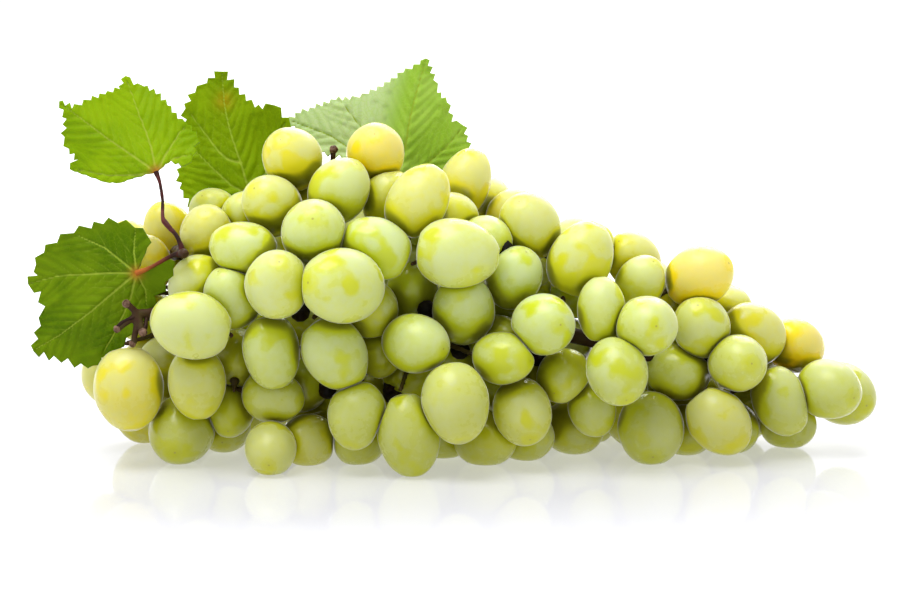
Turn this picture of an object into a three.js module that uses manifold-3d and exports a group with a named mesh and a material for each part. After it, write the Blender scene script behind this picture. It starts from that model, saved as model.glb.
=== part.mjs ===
// A bunch of white table grapes with four of its vine leaves, lying on its side.
// Millimetres, +Z up. The bunch lies along X with its stalk end at -X, and its near side faces -Y.
import * as THREE from 'three';
import { mergeVertices } from 'three/addons/utils/BufferGeometryUtils.js';
import Module from 'manifold-3d';

const wasm = await Module();
wasm.setup();

// The near side was measured as it is seen from a little above, so each place below is given as
// "across" and "up" in the plane of view, and its depth Y is found along the line of sight.
const VIEW_DISTANCE = 1000;
const VIEW_TILT = THREE.MathUtils.degToRad(8.5);
const VIEW_HEIGHT = 47.9;
const VIEW_CENTRE_UP = 54.3;

const GAP = 0.35;
const FLOOR_PRESS = 0.4;
const FLOOR_SLAB = [400, 400, 10];
const BERRY_RADIUS = 10;
const BERRY_ASPECT = 1.25;
const LAYER_STEP = 14;
const FLOOR = 'floor';

// Berries that are not shown apart are joined in clumps, pressed together where they touch.
const BERRY_NODES = 50;
const JOINED_PRESS = 1.7;
const JOINED_MOST = 4;
const JOINED_NEAR = 4;
const FRONT_LAYER = 0.5;

// How the berries settle: how far each kind may move along X, Y and Z, and how fast.
const SEEN_FREEDOM = new THREE.Vector3(0.12, 1, 0.12);
const FLOOR_FREEDOM = new THREE.Vector3(0.12, 0.12, 0.12);
const FAR_FREEDOM = new THREE.Vector3(1, 1, 1);
const SETTLE_SHARE = 0.6;
const HOME_PULL = 0.08;
const DEPTH_PULL = 0.2;
const HOME_ROUNDS = 2 / 3;
const LOOSE_ROUNDS = 300;
const JOINED_ROUNDS = 500;

const LEAF_THICKNESS = 0.7;
const LEAF_STALK_RADIUS = 1.1;
const SHOOT_RADIUS = 2.2;
const STEM_RADIUS = 2.4;
const BRANCH_RADIUS = 1.3;
const BERRY_STALK_RADIUS = 0.9;
const BERRY_STALK_LONGEST = 60;
const BERRY_STALK_SIDES = 3;
const BRANCHING = [0.3, 0.6];
const THICK = { sides: 8, steps: 20 };
const SHORT = { sides: 8, steps: 5 };
const THIN = { sides: 6, steps: 10 };
const WELD = 1e-4;

// The bunch's outline from its stalk end to its tip: across, middle up, half height, half depth.
const BUNCH_SHAPE = [
  [-118, 38, 25, 24],
  [-104, 46, 34, 32],
  [-90, 46, 44, 38],
  [-68, 50, 47, 44],
  [-45, 57, 57, 48],
  [0, 53, 54, 48],
  [30, 46, 46, 43],
  [60, 41, 40, 37],
  [90, 33, 29, 29],
  [115, 28, 22, 21],
  [138, 26, 11, 11],
];

// Berries of the near side: across, up, length, width, lean in degrees, layer behind the skin.
const NEAR_BERRIES = [
  // Stalk end
  [-107.2, 27.5, 28, 22.5, -85, -0.6],
  [-86, 48.3, 26.5, 21.5, -15, -0.4],
  [-84.3, 29, 24, 18.5, -85, 0.2],
  [-89.5, 13.8, 22.5, 21, 80, FLOOR],
  [-113.5, 31.5, 19, 17, 90, 1.6],
  [-96, 33, 22, 18, 90, 1.2],
  [-94.8, 79, 19.5, 16, 110, 1],
  [-107, 73.8, 18, 16, 90, 0.8],
  [-98, 70, 19, 16, 90, 1.5],
  [-83, 76.2, 19, 17, 90, 1.3],
  [-84.4, 65.5, 20, 17.5, 40, 0.4],
  [-73.6, 56.8, 20.6, 17.5, -65, 0.8],
  [-71, 37.5, 20, 18, 90, 0.8],
  [-71, 20, 18, 16, 90, 0.6],
  [-51, 51, 18, 16, 90, 2.4],
  [-76, 12.5, 18, 17, 90, FLOOR],
  // Shoulder
  [-60.3, 22, 20.5, 17, -10, 0.3],
  [-58.7, 8.5, 17, 16, 90, FLOOR],
  [-59.7, 40, 25, 18.5, -82, -0.3],
  [-59, 62.3, 22.2, 20.4, 80, 0],
  [-34.6, 61.7, 27.5, 24.2, -5, -0.4],
  [-38.6, 39.7, 26, 20.5, -58, 0],
  [-48, 29.5, 19, 16, 60, 0.6],
  [-45.5, 17, 20, 19, -60, 0.4],
  [-32.3, 18.5, 22.5, 18.5, 80, -0.4],
  [-26, 21, 22, 17, 90, 0.6],
  [-30.5, 10.5, 18, 17.5, 0, FLOOR],
  [-49, 11.5, 18, 17, 0, FLOOR],
  [-45.7, 79.2, 21.8, 21.2, 90, 0],
  [-37, 93, 22.8, 19, 55, 0.2],
  [-52.6, 103.6, 20.5, 19, -60, 0],
  [-25, 106.3, 19.5, 18.3, 90, 0.3],
  [-59.2, 88.3, 20.5, 18.5, -45, 0.5],
  [-77.3, 83.8, 18, 16, -60, 0.8],
  [-68.3, 75, 22.5, 17.5, -15, 0.2],
  [-70, 83.5, 18, 16, 90, 1.3],
  [-50, 91, 18, 16, 0, 1.9],
  // Middle
  [-13, 11.7, 27.5, 19.5, -80, FLOOR],
  [2.1, 23.6, 26.8, 21.8, -80, -0.7],
  [10.5, 10.5, 20, 17.7, 0, FLOOR],
  [-2, 12, 18, 17, 0, FLOOR],
  [-11.2, 41.7, 22, 19, -10, 0.1],
  [-26, 54, 19, 17.5, 90, 0.7],
  [-23.5, 39.5, 18, 16, 90, 0.8],
  [-12.8, 58.9, 20, 17, 90, 1.1],
  [4.5, 53.5, 23, 20.5, 90, 0.8],
  [-14, 31, 18, 16, 0, 1.5],
  [-1, 85, 18, 16, 0, 2],
  [17.5, 28, 18, 16, 0, 2.3],
  [0.5, 38, 18, 16, 0, 2.4],
  [28.5, 33.5, 18, 16, 0, 2.4],
  [20, 52, 18, 16, 0, 2.3],
  [2.3, 72.3, 28.3, 22.3, -5, -0.3],
  [-24, 74.2, 24.5, 19, -25, 0.3],
  [-20.5, 89.3, 20, 17, 70, 1],
  [-10.6, 89.2, 25.5, 19, 58, 0.2],
  [4.9, 95.6, 23.5, 16.5, 68, 0.4],
  [20.8, 84.6, 18, 16.5, 40, 0.6],
  [28, 80.2, 22, 19.5, -65, 0.5],
  [12, 77, 18, 16, 0, 1.3],
  [22.2, 62.5, 21, 18, 65, 0.6],
  [31.8, 49, 20.7, 19.7, 0, -0.2],
  [17.2, 36.8, 20, 17, -5, -0.3],
  [16, 42.3, 19, 17, 0, 0.7],
  [25, 19.8, 22, 19, -75, -0.2],
  [26, 11.5, 18, 17, 0, FLOOR],
  // Lower half, towards the tip
  [41.9, 70.5, 25.5, 20.5, 65, 0.4],
  [45, 73.8, 19, 16.5, 40, 1.3],
  [50, 53.6, 21.5, 15.5, 93, 0.5],
  [36.4, 32.3, 18.5, 16.8, 60, 0.1],
  [54.7, 33.6, 22.3, 19.2, -75, 0],
  [48.5, 19, 18, 15, -70, 0.4],
  [41, 14, 20, 18, 0, FLOOR],
  [66.6, 13.3, 23.5, 21, 90, FLOOR],
  [66.3, 49.3, 19.6, 19.4, 0, -0.1],
  [61.5, 69.8, 19.5, 17, -50, 0.7],
  [64.4, 63, 18, 15.5, 60, 0.7],
  [81.9, 65, 22.5, 19, 25, 0.3],
  [91, 53.5, 18, 16, 0, 0.8],
  [83.3, 48.6, 20.5, 18.5, -75, 0.4],
  [76.1, 31.9, 22.5, 18.5, -20, -0.2],
  [101, 45.5, 22, 19, -35, 0.5],
  [95.8, 35.1, 19, 18.5, 0, 0],
  [89.5, 16.5, 24, 19, -50, 0],
  [95, 14, 18, 17, 0, FLOOR],
  [77, 13.5, 18, 17, 0, FLOOR],
  [75, 23.5, 18, 16, 0, 2],
  [73, 58.5, 18, 16, 0, 2],
  [-71, 66, 17, 15, 0, 2.6],
  [-66.5, 46.5, 17, 15, 0, 2.6],
  [110.6, 23.3, 24, 17.5, -65, 0.3],
  [112, 15.5, 18, 16.5, 0, FLOOR],
  [114.8, 41.3, 20, 17.5, -20, 0.7],
  [125.6, 26.7, 21, 19, -20, -0.3],
  [131, 25.5, 22, 20, -30, 0.7],
];

// The far side is not seen: rows of berries round the back, a berry apart.
const FAR_ROWS = { from: -102, to: 110, step: 18.5, spacing: 18.5, firstTurn: 40, lastTurn: 178 };
const FAR_SAG = 0.55;
const FAR_BERRY = { length: 23.5, width: 19, spread: 2.2, shift: 5, sway: 0.1, towardsTip: 0.35 };
const FAR_SEED = 7;

// Leaves: where the stalk meets the blade, its depth there, how the blade leans away to the right
// and upwards, how much it folds back either side of its midrib, and its outline.
const LEAVES = [
  {
    name: 'upper_left',
    junction: [-98, 99.3],
    depth: -19,
    lean: [0.12, 0.4],
    midrib: 144,
    fold: 0.22,
    outline: [
      [-96.8, 100], [-95, 101.8], [-93, 103], [-90.5, 102.3], [-88.5, 101.3], [-85.8, 104.5],
      [-84.3, 110.8], [-87.5, 115], [-90.8, 117], [-94.2, 121.5], [-98, 125.2], [-102, 127.8],
      [-105.5, 128.3], [-108.2, 131.3], [-109.8, 126.8], [-115, 125.2], [-119.7, 123.2],
      [-126, 120.4], [-130.3, 122.8], [-127.8, 117], [-128.5, 111], [-127, 107], [-123.8, 103.5],
      [-126.8, 100.3], [-121.5, 98.3], [-115, 95.9], [-110.3, 95.6], [-105, 97.5], [-98, 99.3],
    ],
  },
  {
    name: 'upper_middle',
    junction: [-66.5, 91.5],
    depth: 15,
    lean: [-0.04, 0.2],
    midrib: 103,
    fold: 0.12,
    outline: [
      [-66.5, 91.5], [-64, 89], [-58, 89], [-52.5, 93], [-50, 99], [-50.5, 106], [-53, 114.3],
      [-56, 117.5], [-58.3, 121.5], [-62.5, 120.2], [-65, 120.8], [-68, 123], [-72, 127.5],
      [-76, 132.8], [-81, 129], [-85, 125.8], [-88.2, 120.5], [-88, 113], [-87.2, 105],
      [-90.3, 98.3], [-89, 93], [-85.5, 87.5], [-80, 86], [-74, 87], [-69.5, 89.5],
    ],
  },
  {
    name: 'upper_right',
    junction: [-19, 94],
    depth: 17,
    lean: [0.1, 0.22],
    midrib: 76,
    fold: 0.26,
    outline: [
      [-19, 94], [-13, 91.5], [-7, 90.5], [0, 92], [5, 97], [7, 104], [5.5, 109.5], [4.4, 114.8],
      [0.5, 116], [-1, 122.5], [-4.3, 125.7], [-5.5, 130], [-8, 137.2], [-10, 135.2], [-15.5, 132.5],
      [-20, 129.2], [-27, 125.4], [-33.5, 123.3], [-38, 123.4], [-45, 120.6], [-49.8, 119],
      [-53.8, 116.4], [-48, 110.5], [-42, 106], [-34.5, 104.2], [-28, 100.5],
    ],
  },
  {
    name: 'lower_left',
    junction: [-104.5, 65.6],
    depth: -25,
    lean: [-0.18, 0.06],
    midrib: 217,
    fold: 0.14,
    outline: [
      [-104.5, 65.6], [-101, 74], [-100.3, 77.2], [-105, 80.7], [-110.5, 82.2], [-115.5, 82],
      [-119.5, 80.5], [-125.3, 79], [-131, 75.8], [-135.3, 72.5], [-138, 68.5], [-137.5, 64.8],
      [-140.7, 62], [-136.3, 59.5], [-135, 54.5], [-136.4, 48], [-138.9, 39.6], [-132, 38],
      [-123, 35.5], [-119, 34.8], [-113, 39.5], [-108, 44], [-101, 53], [-98.5, 58], [-95, 62.5],
      [-92.3, 67], [-93, 70.2], [-95.3, 70],
    ],
  },
];

// The leaf stalks meet on a short piece of shoot. Each stop is across, up and depth.
const SHOOT = [[-88.7, 72, -33], [-90.6, 73, -16], [-91.5, 72, 4]];
const LEAF_STALKS = [
  [[-89.3, 73.4, -31.5], [-91.5, 78.5, -30], [-95, 82.5, -27.5], [-95.8, 90, -23], [-98, 99.3, -20.6]],
  [[-91, 72, 0], [-85, 74, 8], [-76, 80, 15], [-70, 86.5, 17], [-66.5, 91.5, 16.6]],
  [[-91.3, 71.5, 2.5], [-84, 71, 13], [-66, 80, 22], [-42, 89, 21], [-19, 94, 18.6]],
  [[-90, 72, -30], [-95, 70.2, -28.5], [-100, 67.4, -27.4], [-104.5, 65.6, -26.6]],
];

// The main stem runs from the shoot through the middle of the bunch.
const MAIN_STEM = [
  [-90, 69, 2], [-75, 60, 6], [-45, 57, 5], [0, 53, 5], [40, 45, 4], [80, 36, 2], [118, 28, 1],
];
const STEM_ANCHORS = 60;
const STALK_HIDDEN = 0.75;

// A side branch at the stalk end whose berries have gone, and the stalks that are left on it.
const BARE_BRANCH = [[-86, 66, 1], [-92, 57, -14], [-98, 52.7, -28], [-104, 51.9, -31]];
const BARE_STALKS = [[-107.5, 55.3, -32], [-110.8, 47, -32.5], [-105.5, 42, -31.5], [-102.3, 46, -33]];

const SKIN = new THREE.MeshStandardMaterial({ color: 0xcbd77c, roughness: 0.42, metalness: 0 });
const LEAF = new THREE.MeshStandardMaterial({ color: 0x6f9c1e, roughness: 0.55, metalness: 0 });
const STALK = new THREE.MeshStandardMaterial({ color: 0x6b3420, roughness: 0.7, metalness: 0 });

// Lines of sight

const viewUp = new THREE.Vector3(0, Math.sin(VIEW_TILT), Math.cos(VIEW_TILT));
const viewRight = new THREE.Vector3(1, 0, 0);
const PLUMB = new THREE.Vector3(0, 0, 1);
const towardsEye = new THREE.Vector3(0, -Math.cos(VIEW_TILT), Math.sin(VIEW_TILT));
const viewCentre = new THREE.Vector3(0, 0, VIEW_HEIGHT);
const eye = viewCentre.clone().addScaledVector(towardsEye, VIEW_DISTANCE);

function sightLine(across, up) {
  const seen = viewCentre.clone().addScaledVector(viewRight, across);
  seen.addScaledVector(viewUp, up - VIEW_CENTRE_UP);
  return seen.sub(eye);
}

function pointAtDepth([across, up, depth]) {
  const line = sightLine(across, up);
  return eye.clone().addScaledVector(line, (depth - eye.y) / line.y);
}

function pointAtHeight(across, up, height) {
  const line = sightLine(across, up);
  return eye.clone().addScaledVector(line, (height - eye.z) / line.z);
}

// Places along the bunch

function shapeAt(across) {
  const last = BUNCH_SHAPE.length - 1;
  const next = BUNCH_SHAPE.findIndex((row) => row[0] > across);
  const right = next === -1 ? last : Math.max(next, 1);
  const [from, to] = [BUNCH_SHAPE[right - 1], BUNCH_SHAPE[right]];
  const share = THREE.MathUtils.clamp((across - from[0]) / (to[0] - from[0]), 0, 1);
  const [, middle, halfHeight, halfDepth] = from.map((value, k) => THREE.MathUtils.lerp(value, to[k], share));
  return { middle, halfHeight: halfHeight - BERRY_RADIUS, halfDepth: halfDepth - BERRY_RADIUS };
}

function skinDepth(across, up) {
  const { middle, halfHeight, halfDepth } = shapeAt(across);
  const rise = THREE.MathUtils.clamp((up - middle) / halfHeight, -1, 1);
  const sag = rise > 0 ? 2 : 4;
  return -halfDepth * Math.sqrt(1 - Math.abs(rise) ** sag);
}

// Berries

function supportReach(berry, direction) {
  const along = berry.axis.dot(direction) ** 2;
  return Math.sqrt(berry.halfWidth ** 2 + (berry.halfLength ** 2 - berry.halfWidth ** 2) * along);
}

function surfaceReach(berry, direction) {
  const along = berry.axis.dot(direction) ** 2;
  return 1 / Math.sqrt(along / berry.halfLength ** 2 + (1 - along) / berry.halfWidth ** 2);
}

function restHeight(berry) {
  return supportReach(berry, PLUMB) - FLOOR_PRESS;
}

function nearBerry([across, up, length, width, lean, layer]) {
  const fullLength = Math.max(length, BERRY_ASPECT * width);
  const turnedAway = Math.sqrt((fullLength ** 2 - length ** 2) / (fullLength ** 2 - width ** 2));
  const angle = THREE.MathUtils.degToRad(lean);
  const outward = Math.cos(angle) * Math.sign(across) + Math.sin(angle) * (up - shapeAt(across).middle);
  const side = Math.sqrt(1 - turnedAway ** 2) * (outward < 0 ? -1 : 1);
  const axis = towardsEye.clone().multiplyScalar(turnedAway);
  axis.addScaledVector(viewRight, side * Math.cos(angle));
  axis.addScaledVector(viewUp, side * Math.sin(angle));
  const berry = { seen: [across, up], axis: axis.normalize(), onFloor: layer === FLOOR };
  const depth = berry.onFloor ? 0 : skinDepth(across, up) + layer * LAYER_STEP;
  const shrink = 1 + depth / VIEW_DISTANCE;
  berry.halfLength = (fullLength / 2) * shrink;
  berry.halfWidth = (width / 2) * shrink;
  berry.layer = berry.onFloor ? 1 : layer;
  berry.centre = berry.onFloor
    ? pointAtHeight(across, up, restHeight(berry))
    : pointAtDepth([across, up, depth]);
  berry.firstDepth = berry.centre.y;
  berry.freedom = berry.onFloor ? FLOOR_FREEDOM : SEEN_FREEDOM;
  return berry;
}

let farSeed = FAR_SEED;
function spread(amount) {
  farSeed += 1;
  return (THREE.MathUtils.seededRandom(farSeed) * 2 - 1) * amount;
}

function farBerry(across, turn) {
  const { middle, halfHeight, halfDepth } = shapeAt(across);
  const core = pointAtDepth([across, middle, 0]);
  const towardsTip = FAR_BERRY.towardsTip * (1 + spread(1));
  const out = new THREE.Vector3(towardsTip, Math.sin(turn), Math.cos(turn)).normalize();
  const halfWidth = (FAR_BERRY.width + spread(FAR_BERRY.spread)) / 2;
  const halfLength = (FAR_BERRY.length + spread(FAR_BERRY.spread)) / 2;
  const berry = { axis: out, halfWidth, halfLength, onFloor: false, layer: 2 };
  const height = Math.max(core.z + halfHeight * Math.cos(turn), BERRY_RADIUS);
  const roundness = Math.sin(turn) ** (turn > Math.PI / 2 ? FAR_SAG : 1);
  berry.centre = new THREE.Vector3(across + spread(FAR_BERRY.shift), halfDepth * roundness, height);
  berry.home = berry.centre.clone();
  berry.freedom = FAR_FREEDOM;
  return berry;
}

function farRow(across, odd) {
  const { halfHeight, halfDepth } = shapeAt(across);
  const round = FAR_ROWS.spacing / Math.hypot(halfHeight, halfDepth) * Math.SQRT2;
  const first = THREE.MathUtils.degToRad(FAR_ROWS.firstTurn) + (odd ? round / 2 : 0);
  const last = THREE.MathUtils.degToRad(FAR_ROWS.lastTurn);
  const row = [];
  for (let turn = first; turn < last; turn += round) {
    row.push(farBerry(across, turn + spread(FAR_BERRY.sway)));
  }
  return row;
}

function allBerries() {
  const berries = NEAR_BERRIES.map(nearBerry);
  const rows = Math.floor((FAR_ROWS.to - FAR_ROWS.from) / FAR_ROWS.step);
  for (let k = 0; k <= rows; k += 1) {
    berries.push(...farRow(FAR_ROWS.from + k * FAR_ROWS.step, k % 2 === 1));
  }
  return berries;
}

// Leaves

function leafDepth(leaf, across, up) {
  const right = across - leaf.junction[0];
  const rise = up - leaf.junction[1];
  const angle = THREE.MathUtils.degToRad(leaf.midrib);
  const fromMidrib = Math.abs(right * Math.sin(angle) - rise * Math.cos(angle));
  return leaf.depth + leaf.lean[0] * right + leaf.lean[1] * rise + leaf.fold * fromMidrib;
}

function quarterTriangles(geometry) {
  const merged = mergeVertices(geometry, WELD);
  const place = merged.getAttribute('position');
  const corners = Array.from(merged.index.array, (k) => new THREE.Vector3().fromBufferAttribute(place, k));
  const points = [];
  for (let k = 0; k < corners.length; k += 3) {
    const [a, b, c] = corners.slice(k, k + 3);
    const [ab, bc, ca] = [[a, b], [b, c], [c, a]].map(([p, q]) => p.clone().lerp(q, 0.5));
    points.push(a, ab, ca, ab, b, bc, ca, bc, c, ab, bc, ca);
  }
  return new THREE.BufferGeometry().setFromPoints(points);
}

function leafBlade(leaf, thickness) {
  const shape = new THREE.Shape(leaf.outline.map(([across, up]) => new THREE.Vector2(across, up)));
  const slab = new THREE.ExtrudeGeometry(shape, { depth: thickness, bevelEnabled: false });
  const blade = quarterTriangles(bare(slab));
  const place = blade.getAttribute('position');
  for (let k = 0; k < place.count; k += 1) {
    const [across, up, layer] = [place.getX(k), place.getY(k), place.getZ(k)];
    const depth = leafDepth(leaf, across, up) - (layer - thickness / 2);
    place.setXYZ(k, ...pointAtDepth([across, up, depth]));
  }
  return blade;
}

// Tubes

function bare(geometry) {
  geometry.deleteAttribute('normal');
  geometry.deleteAttribute('uv');
  return geometry;
}

function curveThrough(stops) {
  return new THREE.CatmullRomCurve3(stops.map(pointAtDepth), false, 'centripetal');
}

function tube(stops, radius, { sides, steps }) {
  const section = new THREE.Shape();
  for (let k = 0; k < sides; k += 1) {
    const turn = (k / sides) * 2 * Math.PI;
    const corner = [radius * Math.cos(turn), radius * Math.sin(turn)];
    section[k === 0 ? 'moveTo' : 'lineTo'](...corner);
  }
  const path = curveThrough(stops);
  return bare(new THREE.ExtrudeGeometry(section, { extrudePath: path, steps, bevelEnabled: false }));
}

function rod(from, to, radius, sides) {
  const length = from.distanceTo(to);
  const shape = bare(new THREE.CylinderGeometry(radius, radius, length, sides));
  const along = to.clone().sub(from).normalize();
  shape.applyQuaternion(new THREE.Quaternion().setFromUnitVectors(new THREE.Vector3(0, 1, 0), along));
  return shape.translate(...from.clone().lerp(to, 0.5));
}

// Solids

function toSolid(geometry) {
  const merged = mergeVertices(geometry, WELD);
  const vertProperties = new Float32Array(merged.getAttribute('position').array);
  const triVerts = new Uint32Array(merged.index.array);
  return new wasm.Manifold(new wasm.Mesh({ numProp: 3, vertProperties, triVerts }));
}

function toGeometry(solid) {
  const { vertProperties, triVerts } = solid.getMesh();
  const geometry = new THREE.BufferGeometry();
  geometry.setAttribute('position', new THREE.BufferAttribute(vertProperties, 3));
  geometry.setIndex(new THREE.BufferAttribute(triVerts, 1));
  geometry.computeVertexNormals();
  return geometry;
}

function joinAll(solids) {
  return solids.reduce((whole, solid) => whole.add(solid));
}

function largestBody(solid) {
  return solid.decompose().reduce((best, body) => (body.volume() > best.volume() ? body : best));
}

function berrySolid(berry, grow) {
  const size = [berry.halfWidth + grow, berry.halfWidth + grow, berry.halfLength + grow];
  const shape = bare(new THREE.IcosahedronGeometry(1, 1)).scale(...size);
  shape.applyQuaternion(new THREE.Quaternion().setFromUnitVectors(PLUMB, berry.axis));
  return toSolid(shape.translate(...berry.centre));
}

// Settling: berries are pushed apart until none overlaps, mostly along the lines of sight

function weigh(berry, direction) {
  return berry.freedom.dot(direction.clone().multiply(direction));
}

function shift(berry, direction, amount) {
  berry.centre.addScaledVector(direction.clone().multiply(berry.freedom), amount);
}

function settlePair(first, second, joined) {
  const direction = second.centre.clone().sub(first.centre);
  const distance = direction.length();
  if (distance > 3 * BERRY_RADIUS) {
    return;
  }
  direction.divideScalar(distance);
  const reach = joined ? surfaceReach : supportReach;
  const rest = reach(first, direction) + reach(second, direction) + (joined ? -JOINED_PRESS : 2 * GAP);
  const error = rest - distance;
  if (!joined && error <= 0) {
    return;
  }
  const amount = SETTLE_SHARE * error / (weigh(first, direction) + weigh(second, direction));
  shift(first, direction, -amount);
  shift(second, direction, amount);
}

function settleClear(berry, obstacle) {
  const direction = berry.centre.clone().sub(obstacle.point);
  const distance = direction.length();
  if (distance > 2 * BERRY_RADIUS) {
    return;
  }
  direction.divideScalar(distance);
  const error = supportReach(berry, direction) + obstacle.radius + GAP - distance;
  if (error > 0) {
    shift(berry, direction, SETTLE_SHARE * error / weigh(berry, direction));
  }
}

function settleHome(berry, pull) {
  const depth = THREE.MathUtils.lerp(berry.centre.y, berry.firstDepth ?? 0, DEPTH_PULL);
  const home = berry.seen ? pointAtDepth([...berry.seen, depth]) : berry.home;
  berry.centre.lerp(home, pull);
  const rest = restHeight(berry);
  if (berry.onFloor || berry.centre.z < rest) {
    berry.centre.z = rest;
  }
}

function settle(berries, obstacles, joins, rounds) {
  const joined = new Set(joins.map(([i, j]) => `${i} ${j}`));
  for (let round = 0; round < rounds; round += 1) {
    const pull = HOME_PULL * Math.max(0, 1 - round / (HOME_ROUNDS * rounds));
    for (let i = 0; i < berries.length; i += 1) {
      for (let j = i + 1; j < berries.length; j += 1) {
        settlePair(berries[i], berries[j], joined.has(`${i} ${j}`));
      }
      obstacles.forEach((obstacle) => settleClear(berries[i], obstacle));
      settleHome(berries[i], pull);
    }
  }
}

// Past the number of nodes, berries are joined in clumps of touching ones, the hidden ones first.
function joinTouching(berries, nodes) {
  const pairs = [];
  berries.forEach((first, i) => {
    berries.slice(i + 1).forEach((second, k) => {
      const direction = second.centre.clone().sub(first.centre);
      const distance = direction.length();
      direction.divideScalar(distance);
      const gap = distance - surfaceReach(first, direction) - surfaceReach(second, direction);
      const inFront = Math.min(first.layer, second.layer) < FRONT_LAYER;
      pairs.push({ join: [i, i + 1 + k], inFront, gap });
    });
  });
  pairs.sort((a, b) => a.inFront - b.inFront || a.gap - b.gap);
  const clumps = berries.map((berry, i) => [i]);
  const joins = [];
  let count = berries.length;
  pairs.filter(({ gap }) => gap < JOINED_NEAR).forEach(({ join: [i, j] }) => {
    if (count > nodes && clumps[i] !== clumps[j] && clumps[i].length + clumps[j].length <= JOINED_MOST) {
      const clump = [...clumps[i], ...clumps[j]];
      clump.forEach((member) => { clumps[member] = clump; });
      joins.push([i, j]);
      count -= 1;
    }
  });
  return { joins, clumps: [...new Set(clumps)] };
}

function obstaclePoints() {
  const along = (stops, radius) => {
    const path = curveThrough(stops);
    const count = Math.ceil(path.getLength() / STEM_RADIUS);
    return path.getSpacedPoints(count).map((point) => ({ point, radius }));
  };
  const blades = LEAVES.flatMap((leaf) => {
    const place = mergeVertices(leafBlade(leaf, LEAF_THICKNESS), WELD).getAttribute('position');
    return Array.from({ length: place.count }, (_, k) => new THREE.Vector3().fromBufferAttribute(place, k));
  });
  return [
    ...blades.map((point) => ({ point, radius: 2 * GAP })),
    ...along(SHOOT, SHOOT_RADIUS),
    ...along(MAIN_STEM, STEM_RADIUS),
    ...along(BARE_BRANCH, BRANCH_RADIUS),
    ...LEAF_STALKS.flatMap((stops) => along(stops, LEAF_STALK_RADIUS)),
    ...BARE_STALKS.map((stop) => ({ point: pointAtDepth(stop), radius: BERRY_STALK_RADIUS })),
  ];
}

// Stem

function isInside(berry, point, margin) {
  const out = point.clone().sub(berry.centre);
  const along = out.dot(berry.axis);
  const besideSquared = out.lengthSq() - along ** 2;
  return (along / (berry.halfLength + margin)) ** 2 + besideSquared / (berry.halfWidth + margin) ** 2 < 1;
}

function isHidden(point, berries) {
  const line = new THREE.Line3(eye, point);
  return berries.some((berry) => {
    const nearest = line.closestPointToPoint(berry.centre, true, new THREE.Vector3());
    return nearest.distanceTo(point) > BERRY_RADIUS / 2 && nearest.distanceTo(berry.centre) < berry.halfWidth;
  });
}

function isClear(from, to, berries) {
  const steps = Math.ceil(from.distanceTo(to) / BERRY_STALK_RADIUS);
  const points = Array.from({ length: steps + 1 }, (_, k) => from.clone().lerp(to, k / steps));
  const margin = BERRY_STALK_RADIUS + GAP;
  const free = points.every((point) => !berries.some((berry) => isInside(berry, point, margin)));
  return free && points.filter((point) => isHidden(point, berries)).length > STALK_HIDDEN * points.length;
}

// Each berry's stalk takes the shortest clear way to the stem or to a stalk that is already there.
function berryStalks(berries) {
  const anchors = curveThrough(MAIN_STEM).getSpacedPoints(STEM_ANCHORS);
  const away = (point) => Math.min(...anchors.map((anchor) => anchor.distanceTo(point)));
  const feet = berries.map((berry) => ({
    end: berry.centre.clone().addScaledVector(berry.axis, -berry.halfLength - BERRY_STALK_RADIUS),
    start: berry.centre.clone().addScaledVector(berry.axis, -berry.halfLength - 2 * BERRY_STALK_RADIUS),
  }));
  feet.forEach((foot) => { foot.away = away(foot.start); });
  feet.sort((a, b) => a.away - b.away);
  const rods = [];
  feet.forEach(({ start, end }) => {
    const near = anchors.filter((anchor) => anchor.distanceTo(start) < BERRY_STALK_LONGEST);
    near.sort((a, b) => a.distanceTo(start) - b.distanceTo(start));
    const anchor = near.find((place) => isClear(start, place, berries));
    if (anchor) {
      rods.push(rod(end, anchor, BERRY_STALK_RADIUS, BERRY_STALK_SIDES));
      anchors.push(...BRANCHING.map((share) => start.clone().lerp(anchor, share)));
    }
  });
  return rods;
}

function mainStem(berries) {
  const stem = tube(MAIN_STEM, STEM_RADIUS, THICK);
  const bareBranch = tube(BARE_BRANCH, BRANCH_RADIUS, THIN);
  const bareEnd = pointAtDepth(BARE_BRANCH.at(-1));
  const bareTips = BARE_STALKS.map(pointAtDepth);
  const bareStalks = bareTips.map((tip) => rod(tip, bareEnd, BERRY_STALK_RADIUS, THIN.sides));
  return joinAll([stem, bareBranch, ...bareStalks, ...berryStalks(berries)].map(toSolid));
}

// Assembly

const bunch = new THREE.Group();

function addPiece(name, solid, material) {
  const mesh = new THREE.Mesh(toGeometry(solid), material);
  mesh.name = name;
  bunch.add(mesh);
}

const berries = allBerries();
const obstacles = obstaclePoints();
settle(berries, obstacles, [], LOOSE_ROUNDS);
const { joins, clumps } = joinTouching(berries, BERRY_NODES);
settle(berries, obstacles, joins, JOINED_ROUNDS);

const roomForBerries = joinAll(berries.map((berry) => berrySolid(berry, GAP)));
const roomForBlades = joinAll(LEAVES.map((leaf) => toSolid(leafBlade(leaf, LEAF_THICKNESS + 2 * GAP))));
const roomForShoot = toSolid(tube(SHOOT, SHOOT_RADIUS + GAP, SHORT));

const stalks = LEAF_STALKS.map((stops) => {
  const whole = toSolid(tube(stops, LEAF_STALK_RADIUS, THIN));
  return largestBody(whole.subtract(roomForBlades).subtract(roomForShoot).subtract(roomForBerries));
});
const widerStalks = LEAF_STALKS.map((stops) => tube(stops, LEAF_STALK_RADIUS + GAP, THIN));
const roomForStalks = joinAll(widerStalks.map(toSolid));
const shoot = largestBody(toSolid(tube(SHOOT, SHOOT_RADIUS, SHORT)).subtract(roomForBerries));
const stem = [roomForBerries, roomForBlades, roomForShoot, roomForStalks]
  .reduce((rest, room) => rest.subtract(room), mainStem(berries));

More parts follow.
